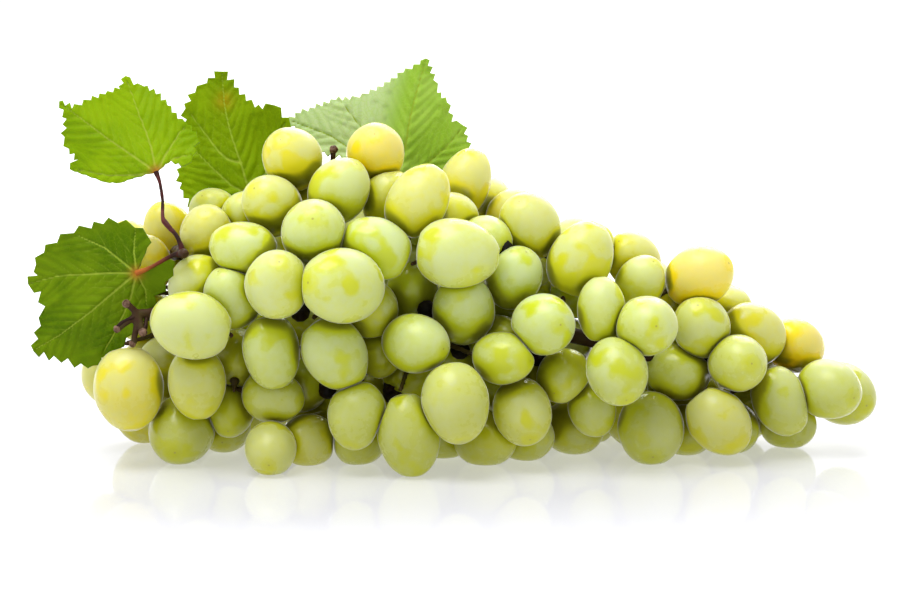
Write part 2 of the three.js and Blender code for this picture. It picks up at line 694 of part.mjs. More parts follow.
const floorSlab = toSolid(bare(new THREE.BoxGeometry(...FLOOR_SLAB)).translate(0, 0, -FLOOR_SLAB[2] / 2));
clumps.forEach((clump, k) => {
  const number = String(k + 1).padStart(2, '0');
  const name = clump.length === 1 ? `berry_${number}` : `berries_${number}`;
  addPiece(name, joinAll(clump.map((i) => berrySolid(berries[i], 0))).subtract(floorSlab), SKIN);
});
LEAVES.forEach((leaf, k) => {
  addPiece(`leaf_${leaf.name}`, toSolid(leafBlade(leaf, LEAF_THICKNESS)), LEAF);
  addPiece(`leaf_stalk_${leaf.name}`, stalks[k], STALK);
});
addPiece('shoot', shoot, STALK);
addPiece('main_stem', largestBody(stem), STALK);

const box = new THREE.Box3().setFromObject(bunch);
const middle = box.getCenter(new THREE.Vector3());
bunch.position.set(-middle.x, -middle.y, -box.min.z);

export default new THREE.Group().add(bunch);
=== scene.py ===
# %% [markdown]
# A bunch of white table grapes lies on its side on a pale glossy surface, with four vine leaves
# at its stalk end. The measured solids of the bunch are loaded first, and every piece that is
# made below takes its place from them: nothing is moved, only shown in a finer form.

# %% Load the measured bunch
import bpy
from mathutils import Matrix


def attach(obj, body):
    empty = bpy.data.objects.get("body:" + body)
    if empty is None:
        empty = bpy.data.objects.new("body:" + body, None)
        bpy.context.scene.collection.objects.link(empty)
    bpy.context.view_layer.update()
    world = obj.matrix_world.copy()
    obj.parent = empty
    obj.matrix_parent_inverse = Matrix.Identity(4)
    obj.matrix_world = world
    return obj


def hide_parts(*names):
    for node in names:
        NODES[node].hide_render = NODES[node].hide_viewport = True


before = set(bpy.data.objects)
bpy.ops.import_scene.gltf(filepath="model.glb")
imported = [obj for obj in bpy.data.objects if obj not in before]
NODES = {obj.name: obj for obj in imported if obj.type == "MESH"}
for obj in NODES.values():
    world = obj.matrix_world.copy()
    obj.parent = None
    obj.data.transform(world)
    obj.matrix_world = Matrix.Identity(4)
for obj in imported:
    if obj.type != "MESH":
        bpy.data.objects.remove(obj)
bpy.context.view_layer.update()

import math

import bmesh
import bpy
import numpy as np
from mathutils import Vector, noise
from mathutils.geometry import delaunay_2d_cdt

# %% [markdown]
# The near side of the bunch was measured as it is seen from a little above and a metre away. A
# place is therefore given as across and up, in millimetres in the plane of view, and as its depth
# behind that plane. One function turns such rows into points of the frame, and one turns back.

# %% Lines of sight
VIEW_DISTANCE = 1.0
VIEW_TILT = math.radians(8.5)
VIEW_MIDDLE = np.array([-0.00216, 0.00361, 0.0479])
VIEW_MIDDLE_UP = 54.3
MM = 0.001

view_right = np.array([1.0, 0.0, 0.0])
view_up = np.array([0.0, math.sin(VIEW_TILT), math.cos(VIEW_TILT)])
towards_eye = np.array([0.0, -math.cos(VIEW_TILT), math.sin(VIEW_TILT)])
eye = VIEW_MIDDLE + towards_eye * VIEW_DISTANCE


def placed(rows):
    rows = np.asarray(rows, float)
    across = rows[:, :1] * MM
    up = (rows[:, 1:2] - VIEW_MIDDLE_UP) * MM
    line = across * view_right + up * view_up - towards_eye * VIEW_DISTANCE
    depth = rows[:, 2:3] * MM + VIEW_MIDDLE[1]
    return eye + line * (depth - eye[1]) / line[:, 1:2]


def seen_from_front(points):
    away = np.asarray(points, float) - eye
    scale = VIEW_DISTANCE / -(away @ towards_eye) / MM
    return np.column_stack([away[:, 0] * scale, away @ view_up * scale + VIEW_MIDDLE_UP])


# %% [markdown]
# The berries are oval, a little longer than wide. In the measured model neighbours are joined
# where they touch, so each solid is first split along its sharp inward creases, and an ellipsoid is
# fitted to the corners of every part. That gives each berry its middle, its long axis and its two
# half sizes, whatever the solid was joined with.

# %% Find every berry
MERGE = 2e-6
CREASE = -0.09
FLOOR_LEVEL = 1e-5
FEWEST_CORNERS = 10
CENTIMETRES = 100
CUP_LENGTH = 4 * MM
CUP_CROWD = 16.5 * MM
STEM_LINE = [[-90, 69, 2], [-75, 60, 6], [-45, 57, 5], [0, 53, 5], [40, 45, 4], [80, 36, 2], [118, 28, 1]]


def merged_copy(node):
    copy = bmesh.new()
    copy.from_mesh(NODES[node].data)
    bmesh.ops.remove_doubles(copy, verts=copy.verts, dist=MERGE)
    return copy


def split_at_creases(solid):
    taken = set()
    parts = []
    for first in solid.faces:
        if first in taken:
            continue
        taken.add(first)
        part = [first]
        for reached in part:
            for edge in reached.edges:
                if edge.calc_face_angle_signed(0) < CREASE:
                    continue
                fresh = [face for face in edge.link_faces if face not in taken]
                taken.update(fresh)
                part.extend(fresh)
        parts.append(part)
    return parts


def corners_on_skin(part):
    corners = dict.fromkeys(corner for face in part for corner in face.verts)
    return [
        corner.co.copy() for corner in corners
        if corner.co.z > FLOOR_LEVEL
        and all(edge.calc_face_angle_signed(0) >= CREASE for edge in corner.link_edges)
    ]


def fit_ellipsoid(corners):
    points = np.array(corners, float) * CENTIMETRES
    middle = points.mean(0)
    x, y, z = (points - middle).T
    terms = np.column_stack([x * x, y * y, z * z, 2 * x * y, 2 * x * z, 2 * y * z, 2 * x, 2 * y, 2 * z])
    k = np.linalg.lstsq(terms, np.ones(len(points)), rcond=None)[0]
    form = np.array([[k[0], k[3], k[4]], [k[3], k[1], k[5]], [k[4], k[5], k[2]]])
    centre = -np.linalg.solve(form, k[6:])
    form = form / (1 + centre @ form @ centre)
    squares, axes = np.linalg.eigh(form)
    half = 1 / np.sqrt(squares) / CENTIMETRES
    return (centre + middle) / CENTIMETRES, axes[:, 0], half


stem_line = placed(STEM_LINE)


def nearest_on_line(point, line):
    starts, steps = line[:-1], np.diff(line, axis=0)
    share = np.clip(((point - starts) * steps).sum(1) / (steps * steps).sum(1), 0, 1)
    feet = starts + steps * share[:, None]
    return feet[np.argmin(np.linalg.norm(feet - point, axis=1))]


berries = []
for node in sorted(name for name in NODES if name.startswith("berr")):
    solid = merged_copy(node)
    for part in split_at_creases(solid):
        corners = corners_on_skin(part)
        if len(corners) < FEWEST_CORNERS:
            continue
        centre, axis, half = fit_ellipsoid(corners)
        outward = centre - nearest_on_line(centre, stem_line)
        axis = axis * (1 if axis @ outward >= 0 else -1)
        berry = {"node": node, "centre": centre, "axis": axis, "long": half[0], "wide": half[1:].mean()}
        berries.append(berry)
    solid.free()

centres = np.array([berry["centre"] for berry in berries])


def neighbours_near(point):
    return (np.linalg.norm(centres - point, axis=1) < CUP_CROWD).sum()


for berry in berries:
    ends = [berry["centre"] + side * berry["axis"] * (berry["long"] + CUP_LENGTH) for side in (1, -1)]
    if neighbours_near(ends[0]) > neighbours_near(ends[1]):
        berry["axis"] = -berry["axis"]
    berry["covered"] = max(neighbours_near(end) for end in ends)

longs = [berry["long"] / MM for berry in berries]
wides = [berry["wide"] / MM for berry in berries]
print("berries", len(berries), "long", min(longs), max(longs), "wide", min(wides), max(wides))

# %% [markdown]
# Berries along the top of the bunch get a golden yellow tone, which is painted glow of light
# shining through them, and those in its middle stay a pale green. The bunch's outline says how high
# a berry lies, as a share of the height there, and a smooth step over that share gives its tone. A
# few spots get more of this painted glow, so the berries there are golder. A fixed seed varies the
# tone from berry to berry, a real difference in ripeness.

# %% Give each berry its tone
BUNCH_ROWS = [
    [-118, 38, 30], [-90, 46, 44], [-45, 57, 57], [0, 53, 54], [60, 41, 40], [115, 28, 22], [138, 26, 11],
]
GLOWING_SPOTS = [(-107, 28, 16), (-100, 68, 13), (-25, 107, 10), (116, 41, 9), (82, 66, 8)]
LEAST_TONE = 0.06
GLOW_AT_TOP = 0.36
GLOW_AT_SPOTS = 0.56
TONE_SPREAD = 0.09
BERRY_REACH = 10
SEED = 11

random = np.random.default_rng(SEED)


def smooth_step(low, high, value):
    share = np.clip((value - low) / (high - low), 0, 1)
    return share * share * (3 - 2 * share)


bunch_rows = np.array(BUNCH_ROWS, float)
berry_seen = seen_from_front([berry["centre"] for berry in berries])
for berry, (across, up) in zip(berries, berry_seen):
    middle = np.interp(across, bunch_rows[:, 0], bunch_rows[:, 1])
    reach = np.interp(across, bunch_rows[:, 0], bunch_rows[:, 2]) - BERRY_REACH
    upper = smooth_step(0.45, 1.05, (up - middle) / reach)
    # painted glow: golden tone at the top of the bunch and at a few spots, plus a random ripeness spread
    glow_spot = max(math.exp(-((across - x) ** 2 + (up - y) ** 2) / r ** 2) for x, y, r in GLOWING_SPOTS)
    tone = LEAST_TONE + GLOW_AT_TOP * upper + GLOW_AT_SPOTS * glow_spot + random.normal(0, TONE_SPREAD)
    berry["tone"] = float(np.clip(tone, 0, 1))
    berry["shift"] = random.uniform(-1, 1, 3)
print("tones", np.round([berry["tone"] for berry in berries[:12]], 2))

# %% [markdown]
# Small helpers build node trees in a few lines. A value that is a socket is linked, and any other
# value is set on the input itself.

# %% Node helpers
NOISE_DETAIL = 3.0


def add_node(tree, kind, inputs=None, **settings):
    made = tree.nodes.new(kind)
    for name, value in settings.items():
        setattr(made, name, value)
    for key, value in (inputs or {}).items():
        if isinstance(value, bpy.types.NodeSocket):
            tree.links.new(value, made.inputs[key])
        else:
            made.inputs[key].default_value = value
    return made


def math_node(tree, operation, *values):
    return add_node(tree, "ShaderNodeMath", dict(enumerate(values)), operation=operation).outputs[0]


def between(tree, value, low, high, start=0.0, end=1.0):
    settings = {"Value": value, "From Min": low, "From Max": high, "To Min": start, "To Max": end}
    return add_node(tree, "ShaderNodeMapRange", settings, interpolation_type="SMOOTHSTEP").outputs[0]


def blend_colours(tree, share, first, second):
    made = add_node(tree, "ShaderNodeMix", {0: share, 6: first, 7: second}, data_type="RGBA")
    return made.outputs[2]


def attribute(tree, name):
    return add_node(tree, "ShaderNodeAttribute", attribute_name=name)


def stored(tree, name):
    return attribute(tree, name).outputs["Fac"]


def set_values(shader, values):
    for name, value in values.items():
        shader.inputs[name].default_value = value


def noise_at(tree, place, scale, detail=NOISE_DETAIL):
    made = add_node(tree, "ShaderNodeTexNoise", {"Vector": place, "Scale": scale, "Detail": detail})
    return made.outputs["Fac"]


def new_material(name):
    material = bpy.data.materials.new(name)
    material.use_nodes = True
    tree = material.node_tree
    return material, tree, tree.nodes["Principled BSDF"]


# %% [markdown]
# Grape skin is a thin clear yellow-green layer over watery flesh, dusted with a dull white wax that
# growers call bloom. Handling rubs the bloom off in patches, so clear skin shows there, deeper in
# colour and glossier. Clear skin also shows where berries touch, partly bloom wearing off and partly
# painted glow, and underneath as painted glow of light through the berry. Deep in the bunch it is
# darkened as painted shade, and berries near the table are painted a browner olive as shade. Light
# goes some way into the flesh, which the subsurface values give. The patches come from noise that is
# shifted for each berry, so that no two berries match.

# %% Grape skin
BLOOM_GREEN = (0.60, 0.70, 0.41, 1)
BLOOM_GOLD = (0.74, 0.67, 0.25, 1)
SKIN_GREEN = (0.55, 0.63, 0.008, 1)
SKIN_GOLD = (0.90, 0.69, 0.003, 1)
SHADED_SKIN = (0.20, 0.21, 0.001, 1)
LOW_SHADE_OLIVE = (0.36, 0.31, 0.008, 1)
SCAR = (0.34, 0.30, 0.06, 1)
DRIFT_SCALE = 50.0
SPOT_SCALE = 90.0
DUST_SCALE = 420.0
PORE_SCALE = 900.0
LOST_AT_CONTACT = 0.55
GLOW_UNDERNEATH = 0.32
SHADE_CLEARS_BLOOM = 1.5
LOW_SHADE_SHARE = 0.42


def grape_skin():
    material, tree, skin = new_material("grape_skin")
    place = add_node(tree, "ShaderNodeTexCoord").outputs["Object"]
    shift = attribute(tree, "shift").outputs["Vector"]
    own_place = add_node(tree, "ShaderNodeVectorMath", {0: place, 1: shift}, operation="ADD").outputs[0]
    labels = ("tone", "pole", "rubbed_and_glow", "under", "crowded", "low_down")
    tone, pole, rubbed_and_glow, under, crowded, low_down = (stored(tree, label) for label in labels)
    drift = between(tree, noise_at(tree, own_place, DRIFT_SCALE, 2.0), 0.3, 0.7, 0.62, 1.10)
    spots = between(tree, noise_at(tree, own_place, SPOT_SCALE, 1.6), 0.54, 0.72, 0.0, 1.15)
    ring = between(tree, pole, 0.88, 0.995, 0.0, 0.45)
    # where berries touch clear skin shows: partly bloom wearing off, partly painted glow of light gathering
    # there
    contact = math_node(tree, "MULTIPLY", rubbed_and_glow, LOST_AT_CONTACT)
    # underneath, clear skin is painted glow of light through the berry
    wear_and_glow = math_node(tree, "MULTIPLY_ADD", under, GLOW_UNDERNEATH, contact)
    # painted shade: bloom gives way to clear skin where neighbours hide the sky
    hidden = math_node(tree, "MULTIPLY_ADD", crowded, SHADE_CLEARS_BLOOM, wear_and_glow)
    bare = math_node(tree, "ADD", hidden, math_node(tree, "MAXIMUM", spots, ring))
    fine = between(tree, noise_at(tree, own_place, DUST_SCALE), 0.3, 0.7, -0.12, 0.12)
    bloom_share = math_node(tree, "ADD", math_node(tree, "SUBTRACT", drift, bare), fine)
    covered = between(tree, bloom_share, -0.25, 1.15, 0.04, 0.82)
    # the tone mixes in gold: painted glow of light through the berry, partly real ripeness
    bloom = blend_colours(tree, tone, BLOOM_GREEN, BLOOM_GOLD)
    clear = blend_colours(tree, tone, SKIN_GREEN, SKIN_GOLD)
    # painted shade: clear skin darkened where neighbours hide the sky
    deep = blend_colours(tree, between(tree, crowded, 0.4, 0.95, 0.0, 0.85), clear, SHADED_SKIN)
    colour = blend_colours(tree, covered, deep, bloom)
    # painted shade: berries low in the bunch turn olive, less so the golden ones
    less_golden = math_node(tree, "SUBTRACT", 1.0, tone)
    low_share = math_node(tree, "MULTIPLY", low_down, LOW_SHADE_SHARE)
    low_shade_amount = math_node(tree, "MULTIPLY", low_share, less_golden)
    shaded = blend_colours(tree, low_shade_amount, colour, LOW_SHADE_OLIVE)
    scar = between(tree, pole, 0.997, 0.9985, 0.0, 0.7)
    tree.links.new(blend_colours(tree, scar, shaded, SCAR), skin.inputs["Base Color"])
    tree.links.new(between(tree, covered, 0.0, 1.0, 0.2, 0.38), skin.inputs["Roughness"])
    bump_height = noise_at(tree, own_place, PORE_SCALE, 4.0)
    bump = add_node(tree, "ShaderNodeBump", {"Strength": 0.04, "Distance": 0.0004, "Height": bump_height})
    tree.links.new(bump.outputs[0], skin.inputs["Normal"])
    set_values(skin, {
        "Subsurface Weight": 0.9, "Subsurface Radius": (1.0, 0.92, 0.15), "Subsurface Scale": 0.014,
        "Sheen Weight": 0.9, "Sheen Roughness": 0.22, "Specular IOR Level": 0.35,
    })
    return material


skin_material = grape_skin()
print("material", skin_material.name)

# %% [markdown]
# All berries share one rule, so Geometry Nodes make them: a sphere is narrowed a little towards its
# tip, pressed in where the stalk enters and dented at the small scar of the flower. The tree sets
# it on every point with that berry's own axis and size. Points carry the tone and the shift along.

# %% Berry tree


def new_tree(name, inputs):
    tree = bpy.data.node_groups.new(name, "GeometryNodeTree")
    tree.interface.new_socket("Geometry", in_out="INPUT", socket_type="NodeSocketGeometry")
    for label, kind in inputs.items():
        tree.interface.new_socket(label, in_out="INPUT", socket_type=kind)
    tree.interface.new_socket("Geometry", in_out="OUTPUT", socket_type="NodeSocketGeometry")
    start = tree.nodes.new("NodeGroupInput")
    return tree, start.outputs


def finish_tree(tree, geometry, material):
    smooth = add_node(tree, "GeometryNodeSetShadeSmooth", {"Geometry": geometry})
    painted = add_node(tree, "GeometryNodeSetMaterial",
                       {"Geometry": smooth.outputs[0], "Material": material})
    end = tree.nodes.new("NodeGroupOutput")
    tree.links.new(painted.outputs[0], end.inputs[0])


def place_parts(tree):
    place = tree.nodes.new("GeometryNodeInputPosition").outputs[0]
    return add_node(tree, "ShaderNodeSeparateXYZ", {0: place}).outputs


def pushed_out(tree, geometry, height):
    normal = tree.nodes.new("GeometryNodeInputNormal").outputs[0]
    offset = add_node(tree, "ShaderNodeVectorMath", {0: normal, "Scale": height}, operation="SCALE")
    pushed = add_node(tree, "GeometryNodeSetPosition", {"Geometry": geometry, "Offset": offset.outputs[0]})
    return pushed.outputs[0]


def point_vector(tree, name):
    made = add_node(tree, "GeometryNodeInputNamedAttribute", {"Name": name}, data_type="FLOAT_VECTOR")
    return made.outputs[0]


def berry_tree():
    tree, given = new_tree("grape berries", {
        "Segments": "NodeSocketInt", "Rings": "NodeSocketInt", "Taper": "NodeSocketFloat",
        "Stalk Dimple": "NodeSocketFloat", "Scar Dent": "NodeSocketFloat", "Unevenness": "NodeSocketFloat",
        "Material": "NodeSocketMaterial",
    })
    sphere = add_node(tree, "GeometryNodeMeshUVSphere",
                      {"Segments": given["Segments"], "Rings": given["Rings"]})
    x, y, z = place_parts(tree)
    marked = add_node(tree, "GeometryNodeStoreNamedAttribute",
                      {"Geometry": sphere.outputs["Mesh"], "Name": "pole", "Value": z}, data_type="FLOAT")
    narrower = math_node(tree, "SUBTRACT", 1.0, math_node(tree, "MULTIPLY", z, given["Taper"]))
    dimple = math_node(tree, "MULTIPLY", between(tree, z, -0.86, -1.0), given["Stalk Dimple"])
    dent = math_node(tree, "MULTIPLY", between(tree, z, 0.972, 1.0), given["Scar Dent"])
    length = math_node(tree, "SUBTRACT", math_node(tree, "ADD", z, dimple), dent)
    shaped_place = add_node(tree, "ShaderNodeCombineXYZ", {
        0: math_node(tree, "MULTIPLY", x, narrower), 1: math_node(tree, "MULTIPLY", y, narrower), 2: length,
    })
    shaped = add_node(tree, "GeometryNodeSetPosition",
                      {"Geometry": marked.outputs[0], "Position": shaped_place.outputs[0]})
    turned = add_node(tree, "FunctionNodeAlignRotationToVector",
                      {"Vector": point_vector(tree, "axis")}, axis="Z")
    placed_berries = add_node(tree, "GeometryNodeInstanceOnPoints", {
        "Points": given["Geometry"], "Instance": shaped.outputs[0], "Rotation": turned.outputs[0],
        "Scale": point_vector(tree, "half_size"),
    })
    real = add_node(tree, "GeometryNodeRealizeInstances", {"Geometry": placed_berries.outputs[0]})
    lumps = noise_at(tree, tree.nodes.new("GeometryNodeInputPosition").outputs[0], 70.0, 1.0)
    height = math_node(tree, "MULTIPLY", math_node(tree, "SUBTRACT", lumps, 0.5), given["Unevenness"])
    finish_tree(tree, pushed_out(tree, real.outputs[0], height), given["Material"])
    return tree


def made_by(tree, base, values):
    modifier = base.modifiers.new(tree.name, "NODES")
    modifier.node_group = tree
    for item in tree.interface.items_tree:
        if item.in_out == "INPUT" and item.name in values:
            modifier[item.identifier] = values[item.name]
    graph = bpy.context.evaluated_depsgraph_get()
    mesh = bpy.data.meshes.new_from_object(base.evaluated_get(graph))
    base.modifiers.remove(modifier)
    return mesh


def linked_object(name, data):
    made = bpy.data.objects.new(name, data)
    bpy.context.scene.collection.objects.link(made)
    return made


def store_values(mesh, name, values):
    mesh.attributes.new(name, "FLOAT", "POINT").data.foreach_set("value", values)


def store_vectors(mesh, name, values):
    mesh.attributes.new(name, "FLOAT_VECTOR", "POINT").data.foreach_set("vector", np.ravel(values))


def berry_points(group):
    mesh = bpy.data.meshes.new("berry_points")
    mesh.from_pydata([berry["centre"] for berry in group], [], [])
    store_vectors(mesh, "axis", [berry["axis"] for berry in group])
    store_vectors(mesh, "half_size", [(berry["wide"], berry["wide"], berry["long"]) for berry in group])
    store_vectors(mesh, "shift", [berry["shift"] for berry in group])
    store_values(mesh, "tone", [berry["tone"] for berry in group])
    return mesh


grape_tree = berry_tree()
print("tree", grape_tree.name, len(grape_tree.nodes), "nodes")

# %% [markdown]
# Ripe berries swell until they press on each other, so a touching pair shares a small flat between
# its middles. Each point of a berry that would pass that flat is moved back to it, with a soft edge.
# The same rule flattens the lowest berries on the surface that carries the bunch. Every point also
# stores what the skin needs for its bloom wear and its painted glow and shade: how near a neighbour
# it is, how far it faces down, how much of the open sky its neighbours hide, and how low it lies.

# %% Make the berries
SWELL = 0.4 * MM
PRESS_EDGE = 0.45 * MM
RUB_REACH = 3.2 * MM
CROWD_REACH = 30 * MM
NEIGHBOUR_REACH = 40 * MM
LOW_FROM = 70 * MM
LOW_TO = 5 * MM
GLOW_WHEN_LOW = 0.35
MARKS = ("rubbed_and_glow", "under", "crowded", "low_down")
BERRY_VALUES = {
    "Segments": 40, "Rings": 26, "Taper": 0.05, "Stalk Dimple": 0.07, "Scar Dent": 0.025,
    "Unevenness": 1.1 * MM, "Material": skin_material,
}


def skin_reach(berry, direction):
    along = (berry["axis"] @ direction) ** 2
    return 1 / math.sqrt(along / berry["long"] ** 2 + (1 - along) / berry["wide"] ** 2)


def soft_excess(value):
    return PRESS_EDGE * np.logaddexp(0, value / PRESS_EDGE)


def press_flat(points, berry):
    for other in berries:
        apart = other["centre"] - berry["centre"]
        distance = np.linalg.norm(apart)
        if other is berry or distance > NEIGHBOUR_REACH:
            continue
        direction = apart / distance
        reach = skin_reach(berry, direction)
        gap = distance - reach - skin_reach(other, direction)
        along = (points - berry["centre"]) @ direction
        points = points - soft_excess(along - reach - gap / 2)[:, None] * direction
    points[:, 2] += soft_excess(-points[:, 2])
    return points


def skin_marks(points, berry):
    # nearness to a neighbour, for bloom wearing off and painted glow where berries touch
    rubbed_and_glow = np.zeros(len(points))
    for other in berries:
        away = points - other["centre"]
        if other is berry or np.linalg.norm(other["centre"] - berry["centre"]) > NEIGHBOUR_REACH:
            continue
        along = away @ other["axis"]
        beside = (away * away).sum(1) - along ** 2
        gap = (np.sqrt((along / other["long"]) ** 2 + beside / other["wide"] ** 2) - 1) * other["wide"]
        rubbed_and_glow = np.maximum(rubbed_and_glow, np.exp(-np.maximum(gap, 0) / RUB_REACH))
    outward = points - berry["centre"]
    outward = outward / np.linalg.norm(outward, axis=1)[:, None]
    # how low a point lies, for painted shade and glow low in the bunch
    low_down = smooth_step(LOW_FROM, LOW_TO, points[:, 2])
    # facing down, and more so low in the bunch: painted glow underneath
    under = smooth_step(-0.35, 0.95, -outward[:, 2]) + GLOW_WHEN_LOW * low_down
    # how much of the sky neighbours hide, for painted shade
    crowded = smooth_step(0.18, 0.85, sky_hidden(points, outward, berry))
    return rubbed_and_glow, under, crowded, low_down


# share of the open sky hidden by neighbours, which drives painted shade
def sky_hidden(points, outward, berry):
    hidden = np.zeros(len(points))
    for other in berries:
        apart = np.linalg.norm(other["centre"] - berry["centre"])
        if other is berry or apart > CROWD_REACH + NEIGHBOUR_REACH:
            continue
        away = other["centre"] - points
        distance = np.linalg.norm(away, axis=1)
        facing = np.clip((away * outward).sum(1) / distance, 0, 1)
        hidden += facing * np.minimum((other["wide"] / distance) ** 2, 1) * (distance < CROWD_REACH)
    return hidden


for berry in berries:
    berry["long"] += SWELL
    berry["wide"] += SWELL


def berry_piece(name, group):
    base = linked_object("berry_points", berry_points(group))
    mesh = made_by(grape_tree, base, BERRY_VALUES)
    bpy.data.objects.remove(base)
    points = np.empty(len(mesh.vertices) * 3)
    mesh.vertices.foreach_get("co", points)
    per_berry = points.reshape(len(group), -1, 3)
    pressed = [press_flat(rows, berry) for rows, berry in zip(per_berry, group)]
    mesh.vertices.foreach_set("co", np.ravel(pressed))
    marks = [skin_marks(rows, berry) for rows, berry in zip(pressed, group)]
    for label, parts in zip(MARKS, zip(*marks)):
        store_values(mesh, label, np.concatenate(parts))
    mesh.update()
    piece = linked_object(name, mesh)
    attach(piece, "root")
    return piece


berry_pieces = []
for node in sorted({berry["node"] for berry in berries}):
    piece = berry_piece("grape_" + node, [berry for berry in berries if berry["node"] == node])
    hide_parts(node)
    berry_pieces.append(piece)
print("berry pieces", len(berry_pieces), "points", sum(len(piece.data.vertices) for piece in berry_pieces))

# %% [markdown]
# A vine leaf is a thin lobed blade with saw teeth and veins that fan out from the end of its stalk.
# The outlines below are the lobes as they were measured. Teeth are set on them by rule, and side
# veins branch off the measured ribs by rule too, each running out towards the edge.

# %% Leaf outlines and ribs
LEAVES = {
    "upper_left": {
        "junction": (-98, 99.3), "depth": -19, "lean": (0.12, 0.4), "midrib": 144, "fold": 0.22,
        "teeth": (3.0, 1.3), "plain_edges": 6,
        "outline": [
            (-96.8, 100), (-95, 101.8), (-93, 103), (-90.5, 102.3), (-88.5, 101.3), (-85.8, 104.5),
            (-84.3, 110.8), (-87.5, 115), (-90.8, 117), (-94.2, 121.5), (-98, 125.2), (-102, 127.8),
            (-105.5, 128.3), (-108.2, 131.3), (-109.8, 126.8), (-115, 125.2), (-119.7, 123.2),
            (-126, 120.4), (-130.3, 122.8), (-127.8, 117), (-128.5, 111), (-127, 107), (-123.8, 103.5),
            (-126.8, 100.3), (-121.5, 98.3), (-115, 95.9), (-110.3, 95.6), (-105, 97.5), (-98, 99.3),
        ],
        "ribs": [
            [(-98, 99.3), (-107, 105.5), (-114, 110.3), (-123.5, 117.5), (-129.5, 122)],
            [(-98, 99.3), (-99.5, 107), (-101.5, 113), (-103.5, 118), (-107.8, 130)],
            [(-98, 99.3), (-94.5, 105.5), (-90.5, 112), (-88, 114.5)],
            [(-98, 99.3), (-104, 98.3), (-114, 98.2), (-125.5, 100.2)],
            [(-98, 99.3), (-92, 103.8), (-86.3, 105)],
        ],
    },
    "upper_middle": {
        "junction": (-66.5, 91.5), "depth": 15, "lean": (-0.04, 0.2), "midrib": 103, "fold": 0.12,
        "teeth": (3.6, 1.6), "spot": (-75.3, 123, 3.0),
        "outline": [
            (-66.5, 91.5), (-64, 89), (-58, 89), (-52.5, 93), (-50, 99), (-50.5, 106), (-53, 114.3),
            (-56, 117.5), (-58.3, 121.5), (-62.5, 120.2), (-65, 120.8), (-68, 123), (-72, 127.5),
            (-76, 132.8), (-81, 129), (-85, 125.8), (-88.2, 120.5), (-88, 113), (-87.2, 105),
            (-90.3, 98.3), (-89, 93), (-85.5, 87.5), (-80, 86), (-74, 87), (-69.5, 89.5),
        ],
        "ribs": [
            [(-66.5, 91.5), (-69.5, 101.5), (-72.7, 111), (-74, 116), (-75.2, 122), (-76, 132)],
            [(-66.5, 91.5), (-73, 95), (-79, 100.5), (-85, 106.5), (-87.2, 109)],
            [(-69.5, 102.3), (-74, 103.5), (-77, 106), (-80, 110), (-87.5, 120)],
            [(-66.5, 91.5), (-61.5, 99), (-57.5, 109), (-55, 116)],
            [(-66.5, 91.5), (-76, 91), (-84, 89.5)],
        ],
    },
    "upper_right": {
        "junction": (-19, 94), "depth": 17, "lean": (0.1, 0.22), "midrib": 76, "fold": 0.26,
        "teeth": (3.0, 1.3), "pale_side": -1,
        "outline": [
            (-19, 94), (-13, 91.5), (-7, 90.5), (0, 92), (5, 97), (7, 104), (5.5, 109.5), (4.4, 114.8),
            (0.5, 116), (-1, 122.5), (-4.3, 125.7), (-5.5, 130), (-8, 137.2), (-10, 135.2), (-15.5, 132.5),
            (-20, 129.2), (-27, 125.4), (-33.5, 123.3), (-38, 123.4), (-45, 120.6), (-49.8, 119),
            (-53.8, 116.4), (-48, 110.5), (-42, 106), (-34.5, 104.2), (-28, 100.5),
        ],
        "ribs": [
            [(-19, 94), (-16, 103), (-14.5, 110), (-13.8, 115), (-12, 123), (-10, 130), (-8.2, 136.3)],
            [(-19, 94), (-28, 103.5), (-40, 111.5), (-52.5, 116.2)],
            [(-18, 97), (-24, 107), (-31, 116), (-36, 122.5)],
            [(-19, 94), (-10, 100), (-1, 108), (4, 114)],
        ],
    },
    "lower_left": {
        "junction": (-104.5, 65.6), "depth": -25, "lean": (-0.18, 0.06), "midrib": 217, "fold": 0.14,
        "teeth": (4.6, 2.0),
        "outline": [
            (-104.5, 65.6), (-101, 74), (-100.3, 77.2), (-105, 80.7), (-110.5, 82.2), (-115.5, 82),
            (-119.5, 80.5), (-125.3, 79), (-131, 75.8), (-135.3, 72.5), (-138, 68.5), (-137.5, 64.8),
            (-140.7, 62), (-136.3, 59.5), (-135, 54.5), (-136.4, 48), (-138.9, 39.6), (-132, 38),
            (-123, 35.5), (-119, 34.8), (-113, 39.5), (-108, 44), (-101, 53), (-98.5, 58), (-95, 62.5),
            (-92.3, 67), (-93, 70.2), (-95.3, 70),
        ],
        "ribs": [
            [(-104.5, 65.6), (-113, 65.6), (-130, 64.7), (-140, 62.2)],
            [(-104.5, 65.6), (-113, 58.5), (-120, 52.5), (-130, 45), (-138.2, 40.2)],
            [(-104.5, 65.6), (-110, 70), (-115, 74), (-124.5, 78.3)],
            [(-104.5, 65.6), (-105.3, 73), (-104.8, 80)],
            [(-104.5, 65.6), (-106.5, 57), (-112, 45), (-116.5, 38)],
            [(-104.5, 65.6), (-101.5, 60), (-101, 54.5)],
        ],
    },
}
TOOTH_LEAN = 0.64
NOTCH_SHARE = 0.25
PLAIN_TOOTH = 0.2
PLAIN_NEAR_STALK = 5
SIDE_VEIN_STEP = 4.4
SIDE_VEIN_TURN = math.radians(42)
SIDE_VEIN_LONGEST = 15.0
SIDE_VEIN_STAGGER = 0.8
SIDE_VEIN_BEND = 0.35
RIB_CLEARANCE = 1.3
STRIDE = 0.5


